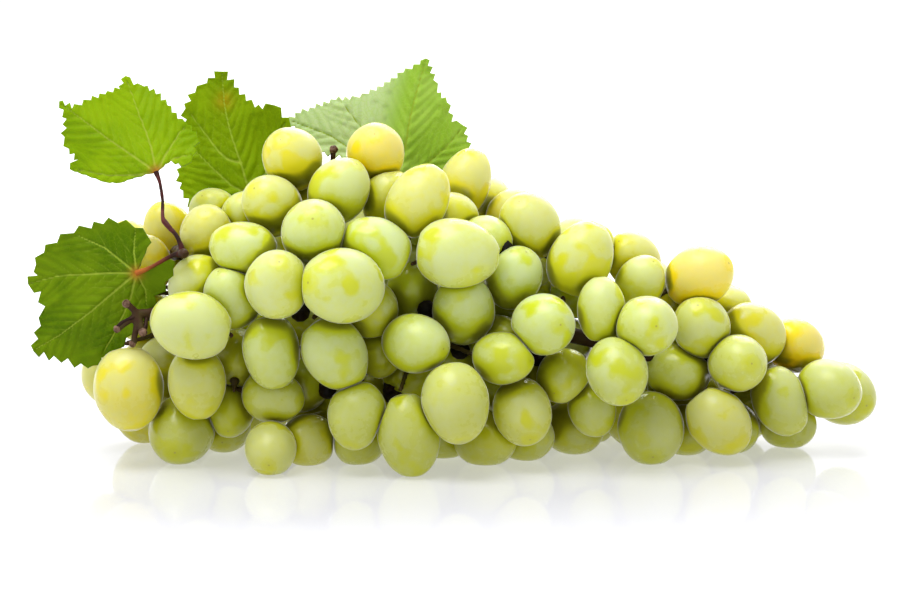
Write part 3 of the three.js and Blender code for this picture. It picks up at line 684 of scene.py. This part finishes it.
def inside(spots, outline):
    spots = np.asarray(spots, float)
    first = np.asarray(outline, float)
    second = np.roll(first, -1, axis=0)
    x, y = spots[:, :1], spots[:, 1:2]
    crosses = (first[:, 1] > y) != (second[:, 1] > y)
    with np.errstate(divide="ignore", invalid="ignore"):
        where = first[:, 0] + (y - first[:, 1]) * (second[:, 0] - first[:, 0]) / (second[:, 1] - first[:, 1])
    return (crosses & (x < where)).sum(1) % 2 == 1


def line_distance(spots, line):
    spots = np.asarray(spots, float)
    line = np.asarray(line, float)
    steps = np.diff(line, axis=0)
    offset = spots[:, None, :] - line[None, :-1]
    share = np.clip((offset * steps).sum(2) / (steps * steps).sum(1), 0, 1)
    distance = np.linalg.norm(offset - share[..., None] * steps, axis=2)
    nearest = distance.argmin(1)
    lengths = np.linalg.norm(steps, axis=1)
    before = np.concatenate([[0], np.cumsum(lengths)[:-1]])
    rows = np.arange(len(spots))
    along = (before[nearest] + share[rows, nearest] * lengths[nearest]) / lengths.sum()
    return distance[rows, nearest], along


def toothed(leaf):
    outline = np.asarray(leaf["outline"], float)
    following = np.roll(outline, -1, axis=0)
    area = (outline[:, 0] * following[:, 1] - following[:, 0] * outline[:, 1]).sum()
    outside = 1 if area > 0 else -1
    pitch, deepest = leaf["teeth"]
    plain_from = len(outline) - leaf.get("plain_edges", 0)
    edge = []
    for number, (start, end) in enumerate(zip(outline, following)):
        run = end - start
        length = np.linalg.norm(run)
        normal = outside * np.array([run[1], -run[0]]) / length
        to_stalk = min(np.linalg.norm(corner - leaf["junction"]) for corner in (start, end))
        plain = to_stalk < PLAIN_NEAR_STALK or number >= plain_from
        count = max(1, round(length / pitch))
        for k in range(count):
            first, last = start + run * k / count, start + run * (k + 1) / count
            depth = PLAIN_TOOTH
            if not plain:
                depth = deepest * random.uniform(0.6, 1.15) * min(1, length / pitch)
            edge.append(first - normal * NOTCH_SHARE * depth * (k > 0))
            edge.append(first + (last - first) * TOOTH_LEAN + normal * depth)
    return np.array(edge)


def along_line(line, step):
    line = np.asarray(line, float)
    lengths = np.linalg.norm(np.diff(line, axis=0), axis=1)
    before = np.concatenate([[0], np.cumsum(lengths)])
    places = np.arange(step, before[-1], step)
    return np.column_stack([np.interp(places, before, line[:, k]) for k in (0, 1)])


def side_veins(leaf):
    veins = []
    for rib in leaf["ribs"]:
        starts = along_line(rib, SIDE_VEIN_STEP)
        others = [other for other in leaf["ribs"] if other is not rib]
        for start, ahead in zip(starts, np.vstack([starts[1:], [rib[-1]]])):
            forward = (ahead - start) / (np.linalg.norm(ahead - start) + 1e-9)
            for side in (1, -1):
                turn = side * (SIDE_VEIN_TURN + random.uniform(-0.1, 0.1))
                spot = start + forward * (SIDE_VEIN_STAGGER * side)
                path = [spot]
                while len(path) * STRIDE < SIDE_VEIN_LONGEST:
                    heading = turn * (1 - SIDE_VEIN_BEND * len(path) * STRIDE / SIDE_VEIN_LONGEST)
                    across = np.array([-forward[1], forward[0]])
                    spot = spot + STRIDE * (math.cos(heading) * forward + math.sin(heading) * across)
                    to_rib = min(line_distance([spot], other)[0][0] for other in others)
                    at_rib = to_rib < RIB_CLEARANCE and len(path) > 3
                    if at_rib or not inside([spot], leaf["outline"])[0]:
                        break
                    path.append(spot)
                if len(path) > 4:
                    veins.append(path)
    return veins


for leaf in LEAVES.values():
    leaf["edge"] = toothed(leaf)
    leaf["veins"] = side_veins(leaf)
print("edge points", [len(leaf["edge"]) for leaf in LEAVES.values()])
print("side veins", [len(leaf["veins"]) for leaf in LEAVES.values()])

# %% [markdown]
# Each blade is filled with a fine even net of triangles, so that the veins can be real grooves and
# the skin between them can swell. The blade keeps the depth and the fold that it was measured with,
# and gets a slow wave. Two skins and a rim close it, and each corner stores how near a vein it is.

# %% Leaf blade meshes
BLADE_NET = 0.62
BLADE_THICKNESS = 0.45 * MM
RIB_WIDTH = 0.5
VEIN_WIDTH = 0.3
RIB_GROOVE = 0.5
VEIN_GROOVE = 0.22
QUILT = 0.55
WAVE = 1.1
WAVE_LENGTH = 16.0


def blade_depth(leaf, spots):
    right, rise = (spots - leaf["junction"]).T
    angle = math.radians(leaf["midrib"])
    from_midrib = np.abs(right * math.sin(angle) - rise * math.cos(angle))
    return leaf["depth"] + leaf["lean"][0] * right + leaf["lean"][1] * rise + leaf["fold"] * from_midrib


def net_inside(edge):
    low, high = edge.min(0), edge.max(0)
    rows = np.arange(low[1], high[1], BLADE_NET * math.sqrt(0.75))
    spots = [
        (x, y) for k, y in enumerate(rows)
        for x in np.arange(low[0] + (k % 2) * BLADE_NET / 2, high[0], BLADE_NET)
    ]
    spots = np.array(spots)
    spots = spots[inside(spots, edge)]
    closed = np.vstack([edge, edge[:1]])
    return spots[line_distance(spots, closed)[0] > 0.4 * BLADE_NET]


def vein_marks(leaf, spots):
    rib = np.zeros(len(spots))
    for line in leaf["ribs"]:
        distance, along = line_distance(spots, line)
        width = RIB_WIDTH * (1.15 - 0.75 * along)
        rib = np.maximum(rib, np.exp(-((distance / width) ** 2)))
    vein = np.zeros(len(spots))
    nearest = np.full(len(spots), np.inf)
    for line in leaf["veins"]:
        distance, along = line_distance(spots, line)
        nearest = np.minimum(nearest, distance)
        vein = np.maximum(vein, np.exp(-((distance / VEIN_WIDTH) ** 2)) * (1 - 0.6 * along))
    return rib, vein, np.minimum(nearest, 3.0)


def wave_at(spots):
    return np.array([noise.noise(Vector((x, y, 0)) / WAVE_LENGTH) for x, y in spots])


def blade_mesh(name, leaf):
    edge = leaf["edge"]
    flat = np.vstack([edge, net_inside(edge)])
    loop = [list(range(len(edge)))]
    spots, _, faces, *_ = delaunay_2d_cdt([Vector(spot) for spot in flat], [], loop, 1, 1e-5)
    spots = np.array(spots)
    rib, vein, nearest = vein_marks(leaf, spots)
    relief = RIB_GROOVE * rib + VEIN_GROOVE * vein - QUILT * smooth_step(0.2, 2.0, nearest) * (1 - rib)
    depth = blade_depth(leaf, spots) + relief + WAVE * wave_at(spots)
    points = placed(np.column_stack([spots, depth]))
    corners = points[np.array(faces)]
    flats = np.cross(corners[:, 1] - corners[:, 0], corners[:, 2] - corners[:, 0])
    normals = np.zeros_like(points)
    for k in range(3):
        np.add.at(normals, np.array(faces)[:, k], flats)
    normals /= np.linalg.norm(normals, axis=1)[:, None] + 1e-12
    count = len(points)
    shell = np.vstack([points + normals * BLADE_THICKNESS / 2, points - normals * BLADE_THICKNESS / 2])
    sides = {(a, b) for face in faces for a, b in zip(face, [*face[1:], face[0]])}
    rim = [(b, a, a + count, b + count) for a, b in sides if (b, a) not in sides]
    under = [tuple(count + k for k in reversed(face)) for face in faces]
    mesh = bpy.data.meshes.new(name)
    mesh.from_pydata(shell.tolist(), [], [*map(tuple, faces), *under, *rim])
    from_stalk = np.linalg.norm(spots - leaf["junction"], axis=1)
    spot = leaf.get("spot", (0, 0, 1))
    patch = np.exp(-(((spots - spot[:2]) / spot[2]) ** 2).sum(1))
    right, rise = (spots - leaf["junction"]).T
    across_rib = right - rise / math.tan(math.radians(leaf["midrib"]))
    # painted sheen: one blade paler on one side of its midrib
    pale = smooth_step(2.0, 14.0, leaf.get("pale_side", 0) * across_rib)
    heart = np.exp(-((from_stalk / 2.2) ** 2))
    for label, values in (("rib", rib), ("vein", vein), ("patch", patch), ("pale", pale), ("heart", heart)):
        store_values(mesh, label, np.concatenate([values, values]))
    store_values(mesh, "back", np.concatenate([np.zeros(count), np.ones(count)]))
    mesh.shade_smooth()
    return mesh


print("blade net", BLADE_NET, "mm, thickness", BLADE_THICKNESS / MM, "mm")

# %% [markdown]
# Young leaves are a bright yellow-green and older ones a deep green, so each blade has two greens of
# its own, mixed by noise. Ribs and side veins are paler, a fine net of veins lies between them, the
# underside is dull, and the heart where the stalk joins is reddish. One blade has a brown patch, and
# one has a painted sheen that makes it pale on one side of its midrib.

# %% Leaf skin
LEAF_COLOURS = {
    "upper_left": ((0.18, 0.31, 0.001, 1), (0.245, 0.385, 0.002, 1)),
    "upper_middle": ((0.165, 0.265, 0.0, 1), (0.245, 0.37, 0.002, 1)),
    "upper_right": ((0.275, 0.45, 0.035, 1), (0.375, 0.55, 0.09, 1)),
    "lower_left": ((0.075, 0.15, 0.0, 1), (0.14, 0.23, 0.002, 1)),
}
VEIN_COLOUR = (0.34, 0.44, 0.04, 1)
UNDERSIDE = (0.36, 0.48, 0.18, 1)
PAINTED_LEAF_SHEEN = (0.53, 0.62, 0.35, 1)
HEART = (0.42, 0.17, 0.02, 1)
PATCH = (0.42, 0.25, 0.005, 1)


def leaf_skin(name, dark, light):
    material, tree, skin = new_material("leaf_" + name)
    place = add_node(tree, "ShaderNodeTexCoord").outputs["Object"]
    mottle = between(tree, noise_at(tree, place, 60.0, 6.0), 0.35, 0.65)
    cells = add_node(tree, "ShaderNodeTexVoronoi", {"Vector": place, "Scale": 620.0},
                     feature="DISTANCE_TO_EDGE")
    fine_vein = between(tree, cells.outputs["Distance"], 0.10, 0.0, 0.0, 0.35)
    blade = blend_colours(tree, mottle, dark, light)
    # painted sheen on one side of the midrib
    sheen_share = math_node(tree, "MULTIPLY", stored(tree, "pale"), 0.8)
    patch_share = math_node(tree, "MULTIPLY", stored(tree, "patch"), 0.6)
    shone = blend_colours(tree, sheen_share, blade, PAINTED_LEAF_SHEEN)
    faded = blend_colours(tree, patch_share, shone, PATCH)
    netted = blend_colours(tree, fine_vein, faded, light)
    side_vein = between(tree, stored(tree, "vein"), 0.3, 1.0, 0.0, 0.35)
    marked = math_node(tree, "MAXIMUM", between(tree, stored(tree, "rib"), 0.25, 0.8), side_vein)
    veined = blend_colours(tree, marked, netted, VEIN_COLOUR)
    under = math_node(tree, "MULTIPLY", stored(tree, "back"), 0.6)
    hearted = blend_colours(tree, stored(tree, "heart"), veined, HEART)
    tree.links.new(blend_colours(tree, under, hearted, UNDERSIDE), skin.inputs["Base Color"])
    tree.links.new(between(tree, mottle, 0.0, 1.0, 0.42, 0.56), skin.inputs["Roughness"])
    height = math_node(tree, "SUBTRACT", noise_at(tree, place, 900.0, 3.0), fine_vein)
    bump = add_node(tree, "ShaderNodeBump", {"Strength": 0.35, "Distance": 0.0003, "Height": height})
    tree.links.new(bump.outputs[0], skin.inputs["Normal"])
    set_values(skin, {
        "Subsurface Weight": 0.25, "Subsurface Radius": (0.6, 1.0, 0.15), "Subsurface Scale": 0.001,
        "Specular IOR Level": 0.05,
    })
    return material


# %% Make the leaf blades
for name, leaf in LEAVES.items():
    piece = linked_object("blade_" + name, blade_mesh("blade_" + name, leaf))
    piece.data.materials.append(leaf_skin(name, *LEAF_COLOURS[name]))
    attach(piece, "root")
    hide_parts("leaf_" + name)
    print(piece.name, len(piece.data.vertices), "points")

# %% [markdown]
# Stalks, the shoot and the twigs are woody tubes along a path, so one tree of Geometry Nodes makes
# them: it follows a curve, takes the thickness from the curve's points, closes the ends and roughens
# the bark a little with noise.

# %% Bark and stalk tree
GAP_SHADE_BLACK = (0.004, 0.003, 0.002, 1)
BARK_DARK = (0.020, 0.006, 0.004, 1)
BARK_RED = (0.17, 0.035, 0.016, 1)
BARK_ORANGE = (0.42, 0.12, 0.02, 1)
BARK_GREEN = (0.060, 0.045, 0.012, 1)
BARK_BROWN = (0.050, 0.022, 0.010, 1)
BARK_PINK = (0.26, 0.15, 0.11, 1)


def bark(name, dark, light, scale, end=None):
    material, tree, skin = new_material(name)
    place = add_node(tree, "ShaderNodeTexCoord").outputs["Object"]
    mottle = between(tree, noise_at(tree, place, scale, 6.0), 0.36, 0.64)
    colour = blend_colours(tree, mottle, dark, light)
    if end is not None:
        reach = add_node(tree, "ShaderNodeVectorMath", {0: place, 1: end}, operation="DISTANCE")
        near_end = between(tree, reach.outputs["Value"], 0.009, 0.002)
        colour = blend_colours(tree, near_end, colour, BARK_ORANGE)
    tree.links.new(colour, skin.inputs["Base Color"])
    tree.links.new(between(tree, mottle, 0.0, 1.0, 0.6, 0.42), skin.inputs["Roughness"])
    bump = add_node(tree, "ShaderNodeBump",
                    {"Strength": 0.5, "Distance": 0.0004, "Height": noise_at(tree, place, 3 * scale, 6.0)})
    tree.links.new(bump.outputs[0], skin.inputs["Normal"])
    skin.inputs["Specular IOR Level"].default_value = 0.15
    return material


def stalk_tree():
    tree, given = new_tree("woody stalks", {
        "Sides": "NodeSocketInt", "Step": "NodeSocketFloat", "Roughness": "NodeSocketFloat",
        "Material": "NodeSocketMaterial",
    })
    path = add_node(tree, "GeometryNodeResampleCurve",
                    {"Curve": given["Geometry"], "Length": given["Step"]}, mode="LENGTH")
    section = add_node(tree, "GeometryNodeCurvePrimitiveCircle",
                       {"Resolution": given["Sides"], "Radius": 1.0})
    sweep = {"Curve": path.outputs[0], "Profile Curve": section.outputs[0], "Fill Caps": True}
    tube = add_node(tree, "GeometryNodeCurveToMesh", sweep)
    if "Scale" in tube.inputs:
        tree.links.new(tree.nodes.new("GeometryNodeInputRadius").outputs[0], tube.inputs["Scale"])
    lumps = noise_at(tree, tree.nodes.new("GeometryNodeInputPosition").outputs[0], 600.0, 2.0)
    height = math_node(tree, "MULTIPLY", math_node(tree, "SUBTRACT", lumps, 0.5), given["Roughness"])
    rough = pushed_out(tree, tube.outputs[0], height)
    real = add_node(tree, "GeometryNodeRealizeInstances", {"Geometry": rough})
    finish_tree(tree, real.outputs[0], given["Material"])
    return tree


woody_tree = stalk_tree()
print("tree", woody_tree.name, len(woody_tree.nodes), "nodes")

# %% Stalks along a path


def smooth_path(rows, per_span=8):
    rows = np.asarray(rows, float)
    padded = np.vstack([2 * rows[0] - rows[1], rows, 2 * rows[-1] - rows[-2]])
    path = []
    for k in range(len(rows) - 1):
        a, b, c, d = padded[k:k + 4]
        for t in np.linspace(0, 1, per_span, endpoint=False):
            bend = (2 * a - 5 * b + 4 * c - d) * t ** 2 + (3 * b - a - 3 * c + d) * t ** 3
            path.append(0.5 * (2 * b + (c - a) * t + bend))
    return np.array([*path, rows[-1]])


def stalk_mesh(paths, material, sides=12, step=0.6, roughness=0.35):
    curve = bpy.data.curves.new("stalk_path", "CURVE")
    curve.dimensions = "3D"
    for rows in paths:
        rows = smooth_path(rows)
        points = placed(rows[:, :3])
        spline = curve.splines.new("POLY")
        spline.points.add(len(points) - 1)
        for target, point, radius in zip(spline.points, points, rows[:, 3] * MM):
            target.co = (*point, 1)
            target.radius = radius
    base = linked_object("stalk_path", curve)
    values = {"Sides": sides, "Step": step * MM, "Roughness": roughness * MM, "Material": material}
    mesh = made_by(woody_tree, base, values)
    bpy.data.objects.remove(base)
    return mesh


# %% [markdown]
# Each path below is a row of stops: across, up, depth and half thickness. The leaf stalks are thin
# and reddish, widen where they join the blade, and meet on the dark knob of the shoot.

# %% Leaf stalks and shoot
LEAF_STALKS = {
    "upper_left": [
        (-89.3, 73.4, -31.5, 1.1), (-90.2, 76, -31, 0.75), (-91.5, 78.5, -30, 0.7), (-95, 82.5, -27.5, 0.9),
        (-95.8, 85, -26, 0.6), (-95.8, 90, -23, 0.55), (-96.8, 96, -21.2, 0.6), (-98, 99.3, -19.6, 0.9),
    ],
    "upper_middle": [
        (-91, 72, 0, 1.4), (-85, 74, 8, 1.0), (-76, 80, 15, 0.9), (-70, 86.5, 17, 0.9),
        (-66.5, 91.5, 15.6, 1.2),
    ],
    "upper_right": [
        (-91.3, 71.5, 2.5, 1.4), (-84, 71, 13, 1.0), (-66, 80, 22, 0.9), (-42, 89, 21, 0.9),
        (-19, 94, 17.6, 1.2),
    ],
    "lower_left": [
        (-89.5, 72, -31.5, 1.2), (-92, 71.7, -30, 0.8), (-95, 70.2, -28.5, 0.65),
        (-100, 67.4, -27.2, 0.65), (-104.5, 65.6, -25.8, 1.0),
    ],
}
SHOOT = [
    (-88.3, 71.5, -34.0, 1.0), (-88.7, 72, -33, 1.7), (-89.3, 72.4, -29, 1.6), (-90.6, 73, -16, 1.9),
    (-91.5, 72, 4, 2.2),
]
lower_left_end = placed([LEAF_STALKS["lower_left"][-1]])[0]
stalk_bark = {
    "upper_left": bark("stalk_mauve", BARK_DARK, (0.12, 0.020, 0.020, 1), 160.0),
    "lower_left": bark("stalk_orange", BARK_DARK, BARK_RED, 160.0, lower_left_end),
}
hidden_bark = bark("stalk_red", BARK_DARK, BARK_RED, 160.0)

for name, path in LEAF_STALKS.items():
    piece = linked_object("stalk_" + name, stalk_mesh([path], stalk_bark.get(name, hidden_bark)))
    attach(piece, "root")
    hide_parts("leaf_stalk_" + name)
shoot_bark = bark("shoot_bark", BARK_DARK, BARK_BROWN, 220.0)
shoot_piece = linked_object("shoot_knob", stalk_mesh([SHOOT], shoot_bark, 14, 0.5, 0.7))
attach(shoot_piece, "root")
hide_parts("shoot")
print("stalks", len(LEAF_STALKS))

# %% [markdown]
# The main stem branches to every berry. Its measured solid has three-sided twigs, so a copy is made
# a little thicker, rebuilt from small even cells and smoothed, which turns it into round wood with
# soft forks. A berry's own stalk flares into a cup where it meets the fruit. Cups are instances, set
# only on berries whose stalk end lies among neighbours.

# %% Main stem
STEM_CELL = 0.55 * MM
STEM_THICKEN = 0.4 * MM
STEM_SMOOTHING = 6
FEWEST_COVERING = 4
CUP_SINK = 0.6 * MM
CUP_SHAPE = {
    "Vertices": 10, "Side Segments": 4, "Fill Segments": 2,
    "Radius Top": 0.7 * MM, "Radius Bottom": 1.7 * MM, "Depth": 5 * MM,
}
CUP_WAIST_HEIGHT = 2.8 * MM
CUP_WAIST = 0.62


def rounded_stem():
    copy = merged_copy("main_stem")
    copy.normal_update()
    for corner in copy.verts:
        corner.co += corner.normal * STEM_THICKEN
    mesh = bpy.data.meshes.new("stem_copy")
    copy.to_mesh(mesh)
    copy.free()
    base = linked_object("stem_copy", mesh)
    cells = base.modifiers.new("cells", "REMESH")
    cells.mode = "VOXEL"
    cells.voxel_size = STEM_CELL
    smoothing = base.modifiers.new("smoothing", "SMOOTH")
    smoothing.factor = 0.5
    smoothing.iterations = STEM_SMOOTHING
    graph = bpy.context.evaluated_depsgraph_get()
    rounded = bpy.data.meshes.new_from_object(base.evaluated_get(graph))
    bpy.data.objects.remove(base)
    rounded.shade_smooth()
    return rounded


def cup_tree():
    tree, given = new_tree("berry cups", {"Material": "NodeSocketMaterial"})
    cone = add_node(tree, "GeometryNodeMeshCone", CUP_SHAPE)
    x, y, z = place_parts(tree)
    waist = between(tree, z, 0.0, CUP_WAIST_HEIGHT, 1.0, CUP_WAIST)
    place = add_node(tree, "ShaderNodeCombineXYZ", {
        0: math_node(tree, "MULTIPLY", x, waist), 1: math_node(tree, "MULTIPLY", y, waist), 2: z,
    })
    cup = add_node(tree, "GeometryNodeSetPosition",
                   {"Geometry": cone.outputs["Mesh"], "Position": place.outputs[0]})
    turned = add_node(tree, "FunctionNodeAlignRotationToVector",
                      {"Vector": point_vector(tree, "axis")}, axis="Z")
    cups = add_node(tree, "GeometryNodeInstanceOnPoints",
                    {"Points": given["Geometry"], "Instance": cup.outputs[0], "Rotation": turned.outputs[0]})
    real = add_node(tree, "GeometryNodeRealizeInstances", {"Geometry": cups.outputs[0]})
    finish_tree(tree, real.outputs[0], given["Material"])
    return tree


def cup_points():
    mesh = bpy.data.meshes.new("cup_points")
    held = [berry for berry in berries if berry["covered"] >= FEWEST_COVERING]
    ends = [berry["centre"] - berry["axis"] * (berry["long"] - CUP_SINK) for berry in held]
    mesh.from_pydata(ends, [], [])
    away = np.array([-berry["axis"] for berry in held])
    store_vectors(mesh, "axis", away)
    return mesh


stem_bark = bark("stem_bark", BARK_BROWN, BARK_GREEN, 140.0)
stem_piece = linked_object("stem", rounded_stem())
stem_piece.data.materials.clear()
stem_piece.data.materials.append(stem_bark)
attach(stem_piece, "root")
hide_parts("main_stem")
cup_base = linked_object("cup_points", cup_points())
cup_piece = linked_object("berry_cups", made_by(cup_tree(), cup_base, {"Material": stem_bark}))
bpy.data.objects.remove(cup_base)
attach(cup_piece, "root")
print("stem", len(stem_piece.data.vertices), "cups", len(cup_piece.data.vertices))

# %% [markdown]
# At the stalk end a side branch has lost its berries. Its dark stalk forks into four short ones,
# each with a swollen end, and one more such stub stands between the upper leaves. Short twigs also
# run from the line of the main stem into the gaps between the berries, widen and then close to a
# tip: they stand for the stem's wood, but their near-black bark and wide ends are painted shade that
# fills the gaps.

# %% Bare twigs
BARE_TWIGS = [
    [(-92, 57, -14, 1.3), (-98, 52.9, -27, 1.5), (-104, 51.9, -31, 1.25)],
    [(-104, 51.9, -31, 1.0), (-105.8, 53.4, -31.7, 0.7), (-107.8, 55.5, -32, 0.9)],
    [(-104, 51.9, -31, 0.9), (-106, 50.6, -32, 0.65), (-109, 49.3, -32.5, 0.6), (-110.9, 47.2, -32.5, 0.9)],
    [
        (-104.3, 51.5, -31, 0.8), (-104.9, 47.5, -31.5, 0.6), (-105.4, 44.5, -31.6, 0.6),
        (-105.8, 42.2, -31.5, 0.8),
    ],
    [(-101.2, 52, -29.5, 0.8), (-101.4, 48.5, -32, 0.7), (-102.2, 46, -33, 0.9)],
    [
        (-43, 58, 4, 1.1), (-42, 75, 4, 0.9), (-40.3, 92, 0, 0.9), (-39.3, 101, -5, 0.8),
        (-38.9, 106.2, -6, 0.9),
    ],
]
DARK_GAPS = [
    (-50, 52.6), (-7.7, 53.3), (-19, 25.6), (-41, 27.6), (3.3, 40), (18.3, 73.3), (29.3, 37.3), (66, 38.3),
    (85.7, 37.3), (112.7, 32.3),
]
END_LUMPS = 0.22
TWIG_ENDS = [
    (-107.9, 55.4, -32.1, 1.35), (-110.9, 47, -32.6, 1.25), (-105.8, 42.1, -31.5, 1.15),
    (-102.4, 45.8, -33.2, 1.4), (-38.8, 106.8, -6, 1.4),
]


def twig_ends(material):
    solid = bmesh.new()
    for end, point in zip(TWIG_ENDS, placed([end[:3] for end in TWIG_ENDS])):
        made = bmesh.ops.create_icosphere(solid, subdivisions=3, radius=end[3] * MM)["verts"]
        for corner in made:
            lump = 1 + END_LUMPS * noise.noise(corner.co * 900 + Vector(point) * 500)
            corner.co = corner.co * lump + Vector(point)
    mesh = bpy.data.meshes.new("twig_ends")
    solid.to_mesh(mesh)
    solid.free()
    mesh.materials.append(material)
    mesh.shade_smooth()
    return mesh


def path_to_gap(across, up):
    stops = np.array(STEM_LINE, float)
    stem_up, stem_depth = (np.interp(across, stops[:, 0], stops[:, k]) for k in (1, 2))
    reach = np.interp(across, bunch_rows[:, 0], bunch_rows[:, 2])
    return [
        (across, stem_up, stem_depth, 1.0), (across, (stem_up + up) / 2, -0.15 * reach, 1.2),
        (across, up, -0.40 * reach, 0.06 * reach), (across + 0.5, up, -0.46 * reach, 0.01 * reach),
    ]


# near-black bark: painted shade in the gaps between the berries
gap_shade_bark = bark("gap_shade_bark", GAP_SHADE_BLACK, BARK_DARK, 140.0)
inner_paths = [path_to_gap(across, up) for across, up in DARK_GAPS]
inner_piece = linked_object("gap_shade_twigs", stalk_mesh(inner_paths, gap_shade_bark, 10, 0.8, 0.5))
twig_bark = bark("twig_bark", BARK_DARK, BARK_BROWN, 260.0)
twig_piece = linked_object("bare_twigs", stalk_mesh(BARE_TWIGS, twig_bark, 10, 0.5, 0.5))
end_piece = linked_object("twig_ends", twig_ends(bark("twig_end_bark", BARK_BROWN, BARK_PINK, 420.0)))
for piece in (twig_piece, end_piece, inner_piece):
    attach(piece, "root")
print("bare twigs", len(BARE_TWIGS), "inner twigs", len(inner_paths))

# %% [markdown]
# The stage is a white glossy table in front of white paper. The table glows a little, more so away
# from the bunch, so that it is as white as the paper and lights the berries from below; its weaker
# glow near the bunch is painted shade around it. A broad lamp behind lets light shine through the
# outer berries, and a wide soft one high up on the front left shapes the rest.

# %% Floor, world and lamps
FLOOR_SIZE = 6.0
WORLD_FILL = 0.52
WORLD_SEEN = 1.05
TABLE_LEVEL = -0.0001
LAMP_SIZE = 0.8
LAMP_TARGET = Vector((0, 0, 0.05))


def area_lamp(name, place, power):
    lamp = bpy.data.lights.new(name, "AREA")
    lamp.size = LAMP_SIZE
    lamp.energy = power
    made = linked_object(name, lamp)
    made.location = place
    made.rotation_euler = (LAMP_TARGET - Vector(place)).to_track_quat("-Z", "Y").to_euler()
    return made


def floor_piece():
    mesh = bpy.data.meshes.new("floor")
    half = FLOOR_SIZE / 2
    corners = [(x * half, y * half, TABLE_LEVEL) for x, y in ((-1, -1), (1, -1), (1, 1), (-1, 1))]
    mesh.from_pydata(corners, [], [(0, 1, 2, 3)])
    material, tree, surface = new_material("white_table")
    set_values(surface, {
        "Base Color": (0.43, 0.43, 0.47, 1), "Roughness": 0.06, "Emission Color": (1, 1, 1, 1),
    })
    place = add_node(tree, "ShaderNodeTexCoord").outputs["Object"]
    reach = add_node(tree, "ShaderNodeVectorMath", {0: place}, operation="LENGTH").outputs["Value"]
    # glow rising away from the bunch: weaker near it as painted shade
    tree.links.new(between(tree, reach, 0.1, 0.45, 0.40, 1.0), surface.inputs["Emission Strength"])
    towards_back = add_node(tree, "ShaderNodeSeparateXYZ", {0: place}).outputs["Y"]
    tree.links.new(between(tree, towards_back, -0.13, -0.02, 0.0, 0.4), surface.inputs["Specular IOR Level"])
    mesh.materials.append(material)
    made = linked_object("floor", mesh)
    return made


def white_world():
    world = bpy.data.worlds.new("white_paper")
    world.use_nodes = True
    bpy.context.scene.world = world
    tree = world.node_tree
    background = tree.nodes["Background"]
    background.inputs["Color"].default_value = (1, 1, 1, 1)
    ray = add_node(tree, "ShaderNodeLightPath").outputs
    seen = math_node(tree, "MAXIMUM", ray["Is Camera Ray"], ray["Is Glossy Ray"])
    strength = math_node(tree, "MULTIPLY_ADD", seen, WORLD_SEEN - WORLD_FILL, WORLD_FILL)
    tree.links.new(strength, background.inputs["Strength"])


floor_piece()
white_world()
area_lamp("lamp_behind", (0.15, 0.8, 0.7), 9.0)
area_lamp("lamp_above", (-0.3, -0.25, 1.2), 14.0)
print("lamps", len(bpy.data.lights))

# %% [markdown]
# The camera stands a metre from the bunch and a little above it, with a lens that shows 300 mm of
# the bunch's width across the picture.

# %% Camera
LENS = 120.0
SENSOR = 36.0

camera_data = bpy.data.cameras.new("camera")
camera_data.lens = LENS
camera_data.sensor_width = SENSOR
camera_data.clip_start = 0.01
camera = linked_object("camera", camera_data)
camera.location = eye
camera.rotation_euler = Vector(-towards_eye).to_track_quat("-Z", "Y").to_euler()
bpy.context.scene.camera = camera
bpy.context.scene.view_settings.view_transform = "Standard"
print("camera", list(camera.location))
